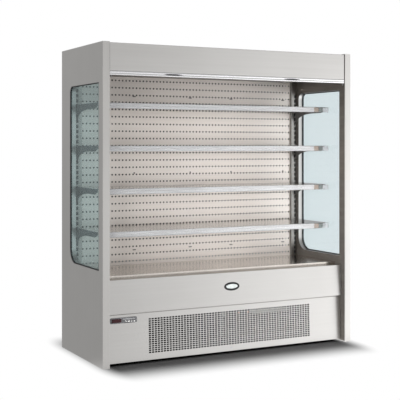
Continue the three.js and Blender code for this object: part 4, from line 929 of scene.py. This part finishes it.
def canopy_lamp():
    """An unlit batten: a ribbed white diffuser and end caps."""
    low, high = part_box("canopy_lamp")
    middle, top = (low.y + high.y) / 2, high.z
    width, height = (high.y - low.y) / 2, top - low.z

    def section(x, grow, rib):
        points = [(x, middle + width, top), (x, middle - width, top)]
        for k, a in enumerate(map(radians, steps(180, 360, 24))):
            r = 1 - (rib if k % 2 else 0.0) - grow
            points.append((x, middle + width * r * cos(a), top + height * r * sin(a) * 0.999))
        return points

    diffuser = loft([section(x, 0.03, 0.012) for x in (low.x + LAMP_CAP, high.x - LAMP_CAP)])
    add_piece("lamp_diffuser", diffuser, "moulded_white", "canopy_lamp")
    caps = bmesh.new()
    for x0, x1 in ((low.x, low.x + LAMP_CAP), (high.x - LAMP_CAP, high.x)):
        loft([section(x0, 0.0, 0.0), section(x1, 0.0, 0.0)], caps)
    add_piece("lamp_end_caps", caps, "moulded_dark", bevel=0.0008)


canopy_fascia()
blind_bar()
blind_bar_fittings()
blind_roller()
blind_cloth()
air_outlet()
canopy_lamp()

# ---------------- rear duct panel and uprights

DUCT_LOW, DUCT_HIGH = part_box("rear_duct_panel")
DUCT_FACE = FRONT + 0.615
DUCT_COLUMNS = 64
DUCT_ROWS = 26
DUCT_PITCH = 0.0489
DUCT_TOP_ROW = 1.790
DUCT_HOLE = (0.0120, 0.0117)


def duct_panel():
    """The perforated duct cover, with its side returns and the ledge that carries the deck."""
    half, back, top = DUCT_HIGH
    foot = DUCT_LOW.z
    us = steps(-half, half, DUCT_COLUMNS)
    first = DUCT_TOP_ROW - DUCT_PITCH * (DUCT_ROWS - 0.5)
    vs = [foot, *(first + DUCT_PITCH * k for k in range(DUCT_ROWS)), top]

    def hole(i, j):
        if j:
            return oval((us[i] + us[i + 1]) / 2, first + DUCT_PITCH * (j - 0.5), *DUCT_HOLE, 2.6, 8)

    bm = thick_sheet(grid(us, vs, hole), lambda u, v, w: (u, DUCT_FACE + w, v), SHEET)
    blocks([((-half, DUCT_FACE + SHEET, foot), (SHEET - half, back, top)),
            ((half - SHEET, DUCT_FACE + SHEET, foot), (half, back, top)),
            ((-half, DUCT_LOW.y, foot), (half, DUCT_FACE, foot + SHEET))], bm)
    add_piece("duct_panel_sheet", bm, "liner", "rear_duct_panel")


def duct_shade_backing():
    """A black sheet of painted shade behind the duct panel, so that its holes read dark."""
    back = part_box("back_panel")[0].y
    half, _, top = DUCT_HIGH
    box_piece("duct_shade_backing", [((-half, back - 0.0016, DUCT_LOW.z + 0.05), (half, back - 0.0003, top))],
              "machine_black_and_shade")


FIXING_COLUMNS = (0.474, 0.901, 1.228, 1.666)  # from the cabinet's left side
CLIP_ROWS = (1.684, 0.642)
CLIP_SIZE = (0.026, 0.007)
CLIP_LEVELS = [(0.0, 0.0), (0.0, 0.0008), (0.0006, 0.0016), (0.00175, 0.0018)]
SCREW_ROW = 1.164


def duct_fixings():
    """Slotted clips near the duct panel's top and foot, and a row of screws across its middle."""
    xs = [from_left - OUTER for from_left in FIXING_COLUMNS]
    screws("duct_panel_screws", [(x, DUCT_FACE, SCREW_ROW) for x in xs], (0, -1, 0), 0.0055, 0.002,
           "painted_bracket")
    clips = bmesh.new()
    for x in xs:
        for z in CLIP_ROWS:
            plate(lambda u, v, rise: (u, DUCT_FACE - rise, v), x, z, *CLIP_SIZE, CLIP_LEVELS, 3.0, 16, clips)
    add_piece("duct_panel_clips", clips, "painted_bracket")


SLOT_START = 0.5825  # top of the lowest slot's cell
SLOT_PITCH = 0.03375
SLOT_SIZE = (0.0170, 0.024)
SLOT_COLUMN = 0.021
SLOT_INSET = 0.0165  # from an end panel's inner face
UPRIGHT_WALL = 0.0025


def upright(word, side):
    """A slotted upright of folded steel: a face with a column of slots between two flanges."""
    low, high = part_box(f"{word}_upright")
    slot_x = side * (INNER - SLOT_INSET)
    count = int((high.z - 0.02 - SLOT_START) / SLOT_PITCH)
    path = Fold([(high.y, low.x), (low.y, low.x), (low.y, high.x), (high.y, high.x)], 0.003)
    column = [path.where(1, slot_x + reach) for reach in (-SLOT_COLUMN / 2, SLOT_COLUMN / 2)]
    us = sorted({*path.stations, *column})
    vs = [low.z, *(SLOT_START - SLOT_PITCH + SLOT_PITCH * k for k in range(count + 2)), high.z]
    faces = perforated(us, vs, [us.index(column[0])], range(1, count + 1), *SLOT_SIZE, 8.0)
    bm = thick_sheet(faces, lambda u, v, w: (*path.at(u, w).yx, v), UPRIGHT_WALL)
    add_piece(f"{word}_slotted_upright", bm, "upright_coat", f"{word}_upright")
    # a black strip of painted shade behind the column of slots, so that they read dark
    shade = ((slot_x - 0.011, low.y + 0.012, low.z + 0.01), (slot_x + 0.011, low.y + 0.014, high.z - 0.01))
    box_piece(f"{word}_upright_shade_backing", [shade], "machine_black_and_shade")


duct_panel()
duct_shade_backing()
duct_fixings()
for side_word, side_sign in SIDES:
    upright(side_word, side_sign)

# ---------------- shelves

SHELF_COUNT = 4
LIP_HALF = 0.7875
LIP_HEIGHT = 0.036
INSERT_START = -0.857
INSERT_END = 0.738
FLANGE_HALF = 0.850
STRIP_DEPTH = 0.003
# the first is a patch of painted shade, the lip's shade seen through the strip
HOLDERS = (("lip_shade_patch", 0.7400, 0.7760), ("holder_grey", 0.7790, 0.8080), ("holder_pale", 0.8110, 0.8570))


def shelf(index):
    """A folded pan, with a clear ticket strip, its insert in two bands, and on the front lip a brown patch of
    painted shade and two holders.
    """
    name = f"shelf_{index}"
    low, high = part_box(name)
    front, rear, top, half = low.y, high.y, high.z, high.x
    lip = front + STRIP_DEPTH
    path = Fold([(rear, top - 0.022), (rear, top), (lip, top), (lip, top - LIP_HEIGHT),
                 (lip + 0.008, top - LIP_HEIGHT)], 0.002)
    us = [-half, -FLANGE_HALF, -LIP_HALF, -0.4, 0.0, 0.4, LIP_HALF, FLANGE_HALF, half]

    def notch(i, j):
        middle = path.at((path.stations[j] + path.stations[j + 1]) / 2)
        outside = max(abs(us[i]), abs(us[i + 1])) - TINY
        is_flange = middle.x > rear - 0.0025
        is_lip = middle.y < top - 0.0002 and middle.x < lip + 0.009
        return () if is_flange and outside > FLANGE_HALF or is_lip and outside > LIP_HALF else None

    add_piece(f"{name}_pan", folded(path, us, THIN_SHEET, notch), "shelf_pan", name, name)
    strip = Fold([(lip, top - 0.0003), (front + 0.0004, top - 0.0003), (front, top - 0.019),
                  (front + 0.0004, top - 0.0377), (lip, top - 0.0377)], 0.0009, 3)
    bm = folded(strip, [-half, -0.4, 0.0, 0.4, half], 0.0007)
    add_piece(f"{name}_ticket_strip", bm, "clear_plastic", body=name)
    card = front + 0.0013
    insert = bmesh.new()
    for z0, z1 in ((top - 0.0352, top - 0.0208), (top - 0.0186, top - 0.0028)):
        band = Fold([(card + 0.0010, z1), (card + 0.0002, z1 - 0.001), (card, (z0 + z1) / 2),
                     (card + 0.0002, z0 + 0.001), (card + 0.0010, z0)], 0.0002, 2)
        folded(band, [INSERT_START, 0.0, INSERT_END], 0.0005, bm=insert)
    add_piece(f"{name}_ticket_insert", insert, "strip_insert", body=name)
    for finish_name, x0, x1 in HOLDERS:
        holder = ((x0, card, top - 0.034), (x1, card + 0.0012, top - 0.004))
        box_piece(f"{name}_{finish_name}", [holder], finish_name, body=name)


BRACKET_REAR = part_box("right_upright")[0].y - 0.0003
BRACKET_ARM = 0.036
BRACKET_NOSE = 0.020
BRACKET_TAPER = 0.045
BRACKET_DROP = 0.105  # below its shelf's top
GUSSET_REACH = 0.225
GUSSET_FOOT = 0.030


def bracket(index, word):
    """A cantilever bracket: a plate with a curved gusset and two hooks."""
    node = f"shelf_{index}_{word}_bracket"
    low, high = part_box(node)
    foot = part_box(f"shelf_{index}")[1].z - BRACKET_DROP
    rear, top, arm = BRACKET_REAR, high.z, high.z - BRACKET_ARM
    gusset, heel, step = rear - GUSSET_REACH, rear - GUSSET_FOOT, foot + GUSSET_FOOT / 2
    curve = [(gusset + (heel - gusset) * sin(a), step + (arm - step) * cos(a))
             for a in steps(0, pi / 2, 16)]
    outline = [(rear, top), (low.y, top), (low.y, top - BRACKET_NOSE), (low.y + BRACKET_TAPER, arm), *curve,
               (heel + GUSSET_FOOT / 2, foot), (rear, foot)]
    bm = thick_sheet([outline], lambda u, v, w: (low.x + w, u, v), high.x - low.x)
    for z in (low.z, low.z + 2 * SLOT_PITCH):
        blocks([((low.x, rear - 0.001, z + 0.006), (high.x, high.y, z + 0.012)),
                ((low.x, high.y - 0.002, z), (high.x, high.y, z + 0.012))], bm)
    add_piece(f"{node}_plate", bm, "painted_bracket", node, bevel=0.0005)


for shelf_index in range(1, SHELF_COUNT + 1):
    shelf(shelf_index)
    for side_word, _ in SIDES:
        bracket(shelf_index, side_word)

# ---------------- apron, badge and return grille

APRON_LOW, APRON_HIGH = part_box("front_apron")
APRON_TOP_Y = FRONT + 0.046
APRON_HEM = 0.0025
APRON_RETURN = 0.030
APRON_SLOPE = (APRON_TOP_Y - APRON_LOW.y) / (APRON_HIGH.z - APRON_LOW.z)
BADGE_HEIGHT = 0.438
BADGE_SIZE = (0.112, 0.055)
BADGE_RIM = 0.026


def apron():
    _, y0, z0 = APRON_LOW
    _, y1, z1 = APRON_HIGH
    front_cover("front_apron", [(APRON_TOP_Y + APRON_HEM, z1), (APRON_TOP_Y, z1), (y0, z0), (y1, z0),
                                (y1, z0 + APRON_RETURN)])


def badge():
    """A bare oval plate: a black ring round a pale, slightly domed face."""
    def ring(proud, drawn_in, share=1.0):
        width, height = (share * (size - drawn_in) for size in BADGE_SIZE)
        return [(x, APRON_LOW.y + (z - APRON_LOW.z) * APRON_SLOPE - proud, z)
                for x, z in oval(0, BADGE_HEIGHT, width, height, 2.0, 48)]

    edge = [(0.0, 0.0), (0.002, 0.0), (0.0035, 0.003), (0.0035, BADGE_RIM - 0.002), (0.0025, BADGE_RIM),
            (0.0, BADGE_RIM)]
    add_piece("badge_ring", loft([ring(*level) for level in edge], cyclic=True), "rubber")
    dome = [ring(0.0012 + 0.0012 * (1 - k * k), BADGE_RIM, k) for k in (1.0, 0.8, 0.55, 0.3, 0.08)]
    add_piece("badge_face", loft([ring(0.0002, BADGE_RIM), *dome]), "badge_face")


RETURN_SLOTS = 84
RETURN_SLOT = (0.0062, 0.0190)
RETURN_ROWS = (0.007, 0.0325, 0.058)  # edges of its two rows of slots, from the front


def return_grille():
    """A plate with two rows of slots behind the apron, and its two standing flanges."""
    low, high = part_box("return_air_grille")
    half, under = high.x, high.z - SHEET
    us = [-half, *steps(-half + 0.012, half - 0.012, RETURN_SLOTS), half]
    vs = [low.y, *(low.y + row for row in RETURN_ROWS), high.y]
    faces = perforated(us, vs, range(1, RETURN_SLOTS + 1), (1, 2), *RETURN_SLOT, 4.0)
    bm = thick_sheet(faces, lambda u, v, w: (u, v, high.z - w), SHEET)
    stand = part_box("evaporator_tub")[0].y
    blocks([((-half, stand, low.z + 0.0003), (half, stand + SHEET, under)),
            ((-half, high.y - SHEET, low.z), (half, high.y, under))], bm)
    add_piece("return_grille_plate", bm, "deck_steel", "return_air_grille")


apron()
badge()
return_grille()

# ---------------- grille panel and controller

ROD = middle_of(*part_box("panel_hinge_rod"))
CURL = 0.0064
PANEL_TOP_SETBACK = 0.055
PANEL_BOTTOM_SETBACK = 0.046
PANEL_BOTTOM = 0.018
PANEL_RETURN = 0.016
PANEL_TILT = atan2(PANEL_TOP_SETBACK - PANEL_BOTTOM_SETBACK, ROD.z - PANEL_BOTTOM)
PANEL_FRAME = Matrix.Translation(ROD) @ Matrix.Rotation(-PANEL_TILT, 4, "X")
GRILLE_SPAN = (0.324 - OUTER, 1.524 - OUTER)
GRILLE_RISE = (0.278, 0.058)  # head and foot of its slots
GRILLE_COLUMNS = 59
GRILLE_ROWS = 17
GRILLE_OPEN = (0.80, 0.72)  # share of a cell that its slot takes, across and upright


def panel_point(x, z, proud):
    """A point of the grille panel by its height at rest, proud of the panel's face."""
    return PANEL_FRAME @ Vector((x, -CURL - proud, z - ROD.z))


def grille_panel():
    """The hinged cover: a curl round the rod, a field of rounded slots and a return along its foot."""
    low = PANEL_BOTTOM - ROD.z
    curl = [(CURL * cos(a), CURL * sin(a)) for a in map(radians, range(-20, 181, 20))]
    path = Fold([*curl, (-CURL, low), (-CURL + PANEL_RETURN, low)])
    start, end = (path.where(1, z - ROD.z) for z in GRILLE_RISE)
    rows = steps(start, end, GRILLE_ROWS)
    us = [-COVER_HALF, *steps(*GRILLE_SPAN, GRILLE_COLUMNS), COVER_HALF]
    vs = sorted({*(v for v in path.stations if not start < v < end), *rows})
    first = vs.index(start)
    faces = perforated(us, vs, range(1, GRILLE_COLUMNS + 1), range(first, first + GRILLE_ROWS),
                       (us[2] - us[1]) * GRILLE_OPEN[0], (rows[1] - rows[0]) * GRILLE_OPEN[1], 5.0)
    bm = thick_sheet(faces, lambda u, v, w: PANEL_FRAME @ Vector((u, *path.at(v, w))), THIN_SHEET)
    add_piece("grille_panel_sheet", bm, "satin_across", "grille_panel", "grille_door")
    screws("grille_panel_screw", [panel_point(0.0, 0.040, 0.0)], PANEL_FRAME.to_3x3() @ Vector((0, -1, 0)),
           0.005, 0.0022, body="grille_door")


BEZEL_START = 0.069 - OUTER
BEZEL_SIZE = (0.178, 0.036)
BEZEL_FOOT = 0.260
BEZEL_MIDDLE = BEZEL_FOOT + BEZEL_SIZE[1] / 2
BEZEL_LEVELS = [  # inset, proud
    (0.0, 0.0003), (0.0, 0.0020), (0.0008, 0.0031), (0.0022, 0.0033), (0.0034, 0.0031), (0.0042, 0.0022),
]
HOUSING_INSET = 0.006
HOUSING_DEPTH = 0.040
DISPLAY_X = BEZEL_START + 0.009
DISPLAY_SIZE = (0.064, 0.024)
DISPLAY_LEVELS = [(0.0, 0.0018), (0.0, 0.0027), (0.0006, 0.0030), (0.004, 0.0031)]
TRIM_START = DISPLAY_X + DISPLAY_SIZE[0] + 0.012
TRIM_END = BEZEL_START + BEZEL_SIZE[0] - 0.010
TRIM_HEIGHT = 0.0025
TRIM_LEVELS = [(0.0, 0.0020), (0.0, 0.0027), (0.0004, 0.0030)]
KEY_FIRST = 0.106
KEY_PITCH = 0.018
KEY_RISE = 0.010
KEY_SIZE = (0.011, 0.0064)
KEY_LEVELS = [
    (0.0002, -0.0015), (0.0, 0.0), (0.0, 0.0032), (0.0004, 0.0038), (0.0012, 0.0042), (0.0024, 0.0043),
]


def controller():
    """A dark housing with a raised rim, a display lens, a trim line and four oval keys."""
    length, height = BEZEL_SIZE
    bezel = plate(panel_point, BEZEL_START + length / 2, BEZEL_MIDDLE, length, height, BEZEL_LEVELS, 14.0, 48)
    foot = BEZEL_FOOT - ROD.z
    blocks([((BEZEL_START + HOUSING_INSET, 0.001 - CURL, foot + HOUSING_INSET),
             (BEZEL_START + length - HOUSING_INSET, HOUSING_DEPTH - CURL, foot + height - HOUSING_INSET))],
           bezel, PANEL_FRAME)
    add_piece("controller_housing", bezel, "housing_grey", "controller_bezel", "grille_door")
    lens = plate(panel_point, DISPLAY_X + DISPLAY_SIZE[0] / 2, BEZEL_MIDDLE, *DISPLAY_SIZE, DISPLAY_LEVELS,
                 14.0)
    add_piece("controller_lens", lens, "lens", "controller_display", "grille_door")
    trim = plate(panel_point, (TRIM_START + TRIM_END) / 2, BEZEL_MIDDLE + 0.006 + TRIM_HEIGHT / 2,
                 TRIM_END - TRIM_START, TRIM_HEIGHT, TRIM_LEVELS, 6.0, 16)
    add_piece("controller_trim_line", trim, "drawn_aluminium", body="grille_door")
    for i in range(4):
        cap = plate(panel_point, BEZEL_START + KEY_FIRST + KEY_PITCH * i, BEZEL_FOOT + KEY_RISE, *KEY_SIZE,
                    KEY_LEVELS, 2.6)
        node = f"controller_key_{i + 1}"
        add_piece(f"{node}_cap", cap, "moulded_white", node, f"key_{i + 1}")


grille_panel()
controller()

# ---------------- back, roof and machine space

JOINT = 0.0006  # half the gap between two neighbouring sheets
COVER_SCREW = 0.0042


def base_shade_pan():
    """A black sheet that closes the machine space below, let into the base frame. It shuts out the floor's
    light, and its black is painted shade, so that the grille's slots read dark.
    """
    (x0, y0, z0), (x1, y1, _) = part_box("base_frame")
    pan = ((x0 + 0.004, y0 + 0.004, z0 + 0.002), (x1 - 0.004, y1 - 0.004, z0 + 0.0035))
    box_piece("base_shade_pan", [pan], "machine_black_and_shade")


def pressed_field(bm, place, u0, u1, v0, v1, thickness, border, slope, depth):
    """A closed sheet whose middle stands proud of its border by a depth. place(u, v, w) puts w under the
    field."""
    rings = []
    for inset, w in ((0.0, thickness), (0.0, depth + 0.0012), (0.0012, depth), (border, depth),
                     (border + slope * 0.25, depth * 0.85), (border + slope * 0.75, depth * 0.15),
                     (border + slope, 0.0)):
        a0, a1, b0, b1 = u0 + inset, u1 - inset, v0 + inset, v1 - inset
        rings.append([place(a0, b0, w), place(a1, b0, w), place(a1, b1, w), place(a0, b1, w)])
    loft(rings, bm)


BACK_FIELDS = 3
BACK_PRESSING = 0.004
STRIP_HALF = 0.018
EDGE_STRIP = 0.011


def back_panel():
    """Three pressed sheets, with cover strips over their joints and edges, and rows of screws."""
    (x0, y0, z0), (x1, y1, z1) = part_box("back_panel")
    ends = steps(x0, x1, BACK_FIELDS)
    middle = (z0 + z1) / 2
    bm = bmesh.new()
    for left, right in pairwise(ends):
        for foot, head in ((z0, middle), (middle, z1)):
            pressed_field(bm, lambda u, v, w: (u, y1 - w, v), left + JOINT, right - JOINT, foot + JOINT,
                          head - JOINT, y1 - y0, 0.05, 0.012, BACK_PRESSING)
    add_piece("back_panel_sheets", bm, "galvanised", "back_panel", sharp=30)
    face = y1 - BACK_PRESSING
    upright_strips = [((x - STRIP_HALF, face, z0 + 0.004), (x + STRIP_HALF, face + 0.0015, z1 - 0.004))
                      for x in ends[1:-1]]
    level_strips = [((x0 + 0.004, face, z - EDGE_STRIP), (x1 - 0.004, face + 0.0010, z + EDGE_STRIP))
                    for z in (z0 + 0.002 + EDGE_STRIP, middle, z1 - 0.002 - EDGE_STRIP)]
    box_piece("back_cover_strips", upright_strips + level_strips, "satin_upright")
    places = [(x, face + 0.0014, z) for x in steps(x0 + 0.03, x1 - 0.03, 16)
              for z in (z0 + 0.013, middle, z1 - 0.013)]
    places += [(x, face + 0.0014, z) for x in ends[1:-1] for z in steps(z0 + 0.1, z1 - 0.1, 9)]
    screws("back_screws", places, (0, 1, 0), COVER_SCREW, 0.0018)


ROOF_FIELDS = 2
ROOF_PRESSING = 0.006


def roof_panel():
    """Two pressed roof sheets, with a cover strip over their joint and screws along their edges."""
    (x0, y0, z0), (x1, y1, z1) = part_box("roof_panel")
    ends = steps(x0, x1, ROOF_FIELDS)
    bm = bmesh.new()
    for left, right in pairwise(ends):
        pressed_field(bm, lambda u, v, w: (u, v, z1 - w), left + JOINT, right - JOINT, y0, y1, z1 - z0,
                      0.04, 0.014, ROOF_PRESSING)
    add_piece("roof_skin", bm, "galvanised", "roof_panel", sharp=30)
    top = z1 - ROOF_PRESSING
    strips = [((x - STRIP_HALF, y0 + 0.002, top), (x + STRIP_HALF, y1 - 0.002, top + 0.0015))
              for x in ends[1:-1]]
    box_piece("roof_cover_strip", strips, "satin_across")
    places = [(x, y, top + 0.0014) for x in steps(x0 + 0.03, x1 - 0.03, 12) for y in (y0 + 0.02, y1 - 0.02)]
    screws("roof_screws", places, (0, 0, 1), COVER_SCREW, 0.0020)


AIR_FIELDS = 3
AIR_COLUMNS = 9
AIR_ROWS = 11
AIR_MARGIN = 0.10
AIR_SETBACK = 0.0008  # leaves room for the screw heads


def rear_grille():
    """The rear cover of the machine space, with three fields of short air slots."""
    (x0, y0, z0), (x1, y1, z1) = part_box("rear_machine_grille")
    span = (x1 - x0) / AIR_FIELDS
    us = [x0]
    for field_index in range(AIR_FIELDS):
        start = x0 + span * field_index + AIR_MARGIN / 2
        us += steps(start, start + span - AIR_MARGIN, AIR_COLUMNS)
    us.append(x1)
    vs = [z0, *steps(z0 + 0.045, z1 - 0.022, AIR_ROWS), z1]
    open_columns = [i for i in range(len(us)) if i % (AIR_COLUMNS + 1)]
    faces = perforated(us, vs, open_columns, range(1, AIR_ROWS + 1), us[2] - us[1] - 0.010,
                       (vs[2] - vs[1]) * 0.42, 7.0)
    bm = thick_sheet(faces, lambda u, v, w: (u, y1 - AIR_SETBACK - w, v), y1 - y0 - AIR_SETBACK)
    add_piece("rear_slotted_cover", bm, "galvanised", "rear_machine_grille")
    places = [(x, y1 - 0.0012, z) for x in steps(x0 + 0.02, x1 - 0.02, 8) for z in (z0 + 0.016, z1 - 0.010)]
    screws("rear_cover_screws", places, (0, 1, 0), 0.0035, 0.0012)


COIL_REACH = 0.02  # from a coil's end to its end plate
FIN_HALF = 0.0003
PIPE_RADIUS = 0.0048


def coil(node, fin_finish, fins, tube_rows, tube_columns, pipe_finish):
    """A block of thin fins on hairpin tubes between two end plates."""
    low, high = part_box(node)
    x0, x1 = low.x + COIL_REACH, high.x - COIL_REACH
    sheets = [((x - FIN_HALF, low.y + 0.002, low.z + 0.003), (x + FIN_HALF, high.y - 0.002, high.z - 0.003))
              for x in steps(x0 + 0.003, x1 - 0.003, fins - 1)]
    box_piece(f"{node}_fins", sheets, fin_finish, node, bevel=0.0)
    plates = [((x - 0.001, low.y, low.z), (x + 0.001, high.y, high.z)) for x in (x0, x1)]
    box_piece(f"{node}_end_plates", plates, "galvanised")
    pipes = bmesh.new()
    dz = (high.z - low.z) / (tube_rows + 0.5)
    for c in range(tube_columns):
        y = low.y + (high.y - low.y) * (c + 0.5) / tube_columns
        for r in range(tube_rows):
            z = low.z + dz * (r + 0.75)
            tube([(x0 - 0.002, y, z), (x1 + 0.002, y, z)], PIPE_RADIUS, pipes)
        for r in range(tube_rows - 1):
            side, x = (1, x1 + 0.001) if (r + c) % 2 else (-1, x0 - 0.001)
            z = low.z + dz * (r + 1.25)
            bend = [(x + side * (COIL_REACH - 0.007) * sin(a), y, z - dz / 2 * cos(a))
                    for a in steps(0, pi, 10)]
            tube(bend, PIPE_RADIUS, pipes)
    add_piece(f"{node}_pipes", pipes, pipe_finish)


FOOT_PLATE = 0.006
FOOT_REACH = 0.018
TERMINAL_SIZE = (0.060, 0.050)
TERMINAL_HEIGHT = 0.085


def compressor():
    """A welded steel shell with its seam, domed lid, foot plate, pipe stubs and terminal cover."""
    low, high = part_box("compressor")
    radius = (high.x - low.x) / 2 - FOOT_REACH
    centre = Vector(((low.x + high.x) / 2, high.y - radius - 0.004, low.z))
    height = high.z - low.z
    seam, dome, bead = height / 2, radius * 0.5, radius + 0.0035
    profile = [(radius * 0.78, FOOT_PLATE), (radius * 0.93, FOOT_PLATE + 0.006), (radius, FOOT_PLATE + 0.02),
               (radius, seam - 0.005), (bead, seam - 0.003), (bead, seam + 0.003), (radius, seam + 0.005)]
    profile += [(radius * cos(a), height - dome + dome * sin(a))
                for a in (radians(90 * k / 12) for k in range(12))]
    shell = turned([*profile, (0.004, height)], Matrix.Translation(centre))
    add_piece("compressor_shell", shell, "machine_black_and_shade", "compressor", sharp=50)
    foot = plate(lambda u, v, rise: (centre.x + u, centre.y + v, low.z + rise), 0, 0,
                 2 * (radius + FOOT_REACH), radius * 1.6,
                 [(0.001, 0.0), (0.0, 0.001), (0.0, FOOT_PLATE - 0.001), (0.001, FOOT_PLATE)], 8.0)
    add_piece("compressor_foot_plate", foot, "machine_black_and_shade")
    stubs = bmesh.new()
    z = low.z + height * 0.66
    for _, side in SIDES:
        x = centre.x + side * radius * 0.4
        tube([(x, centre.y - radius * 0.8, z), (x, low.y + 0.001, z)], 0.0055, stubs, 14)
    add_piece("compressor_stubs", stubs, "copper")
    side_x = centre.x + radius * 0.86
    terminals = plate(lambda u, v, rise: (side_x + rise, centre.y + u, low.z + TERMINAL_HEIGHT + v), 0, 0,
                      *TERMINAL_SIZE, [(0.0, 0.0), (0.0, 0.020), (0.002, 0.024), (0.006, 0.0255)], 8.0)
    add_piece("compressor_terminal_cover", terminals, "moulded_dark")


def castor_wheel(node, body):
    """A soft tyre with rounded shoulders on a stepped hub."""
    low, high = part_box(node)
    centre = middle_of(low, high)
    radius, half = centre.z, (high.x - low.x) / 2
    core = radius * 0.68

    def wheel_part(part, finish_name, side, count, sharp=38):
        profile = [*side, *((r, -h) for r, h in reversed(side))]
        bm = turned(profile, facing(centre, (1, 0, 0)), None, count, cyclic=True)
        add_piece(f"{node}_{part}", bm, finish_name, node if part == "tyre" else None, body, sharp=sharp)

    wheel_part("tyre", "tyre", [
        (core, 0.001 - half), (radius - 0.0045, -half), (radius - 0.001, 0.0035 - half), (radius, -half * 0.3),
    ], 40, 60)
    wheel_part("hub", "moulded_dark", [
        (0.0048, 0.0005 - half), (0.008, 0.0005 - half), (0.0085, 0.003 - half), (core - 0.003, 0.003 - half),
        (core - 0.0015, 0.0012 - half), (core, 0.0012 - half),
    ], 32)


base_shade_pan()
back_panel()
roof_panel()
rear_grille()
coil("condenser_coil", "machine_black_and_shade", 110, 8, 2, "machine_black_and_shade")
coil("evaporator_coil", "fins", 190, 5, 4, "copper")
compressor()
for wheel in ("front_left", "front_right", "rear_left", "rear_right"):
    castor_wheel(f"{wheel}_castor_wheel", f"{wheel}_wheel")

# ---------------- CAD nodes that stay

# the base frame and condensate tray take black as painted shade, so that the machine space reads dark behind
# the grille
# the ceiling takes the painted shade liner, standing in for the shade under the canopy
NODE_FINISH = {
    "ceiling_panel": "painted_shade_liner", "base_frame": "machine_black_and_shade", "condensate_tray": "machine_black_and_shade",
    "condenser_fan_plate": "galvanised", "electrical_box": "moulded_dark", "display_deck": "deck_steel",
    "front_left_castor_fork": "zinc", "front_right_castor_fork": "zinc", "panel_hinge_rod": "zinc",
}
KEPT_BEVEL = 0.0006

for row in frame["record"]["subparts"]:
    cad_node = frame["nodes"][row["node"]]
    cad_node.data.materials.clear()
    cad_finish = NODE_FINISH.get(row["node"]) or FINISH_OF_SLOT[row["material_slot"]]
    cad_node.data.materials.append(FINISHES[cad_finish])
    if not cad_node.hide_render:
        add_bevel(cad_node, KEPT_BEVEL)
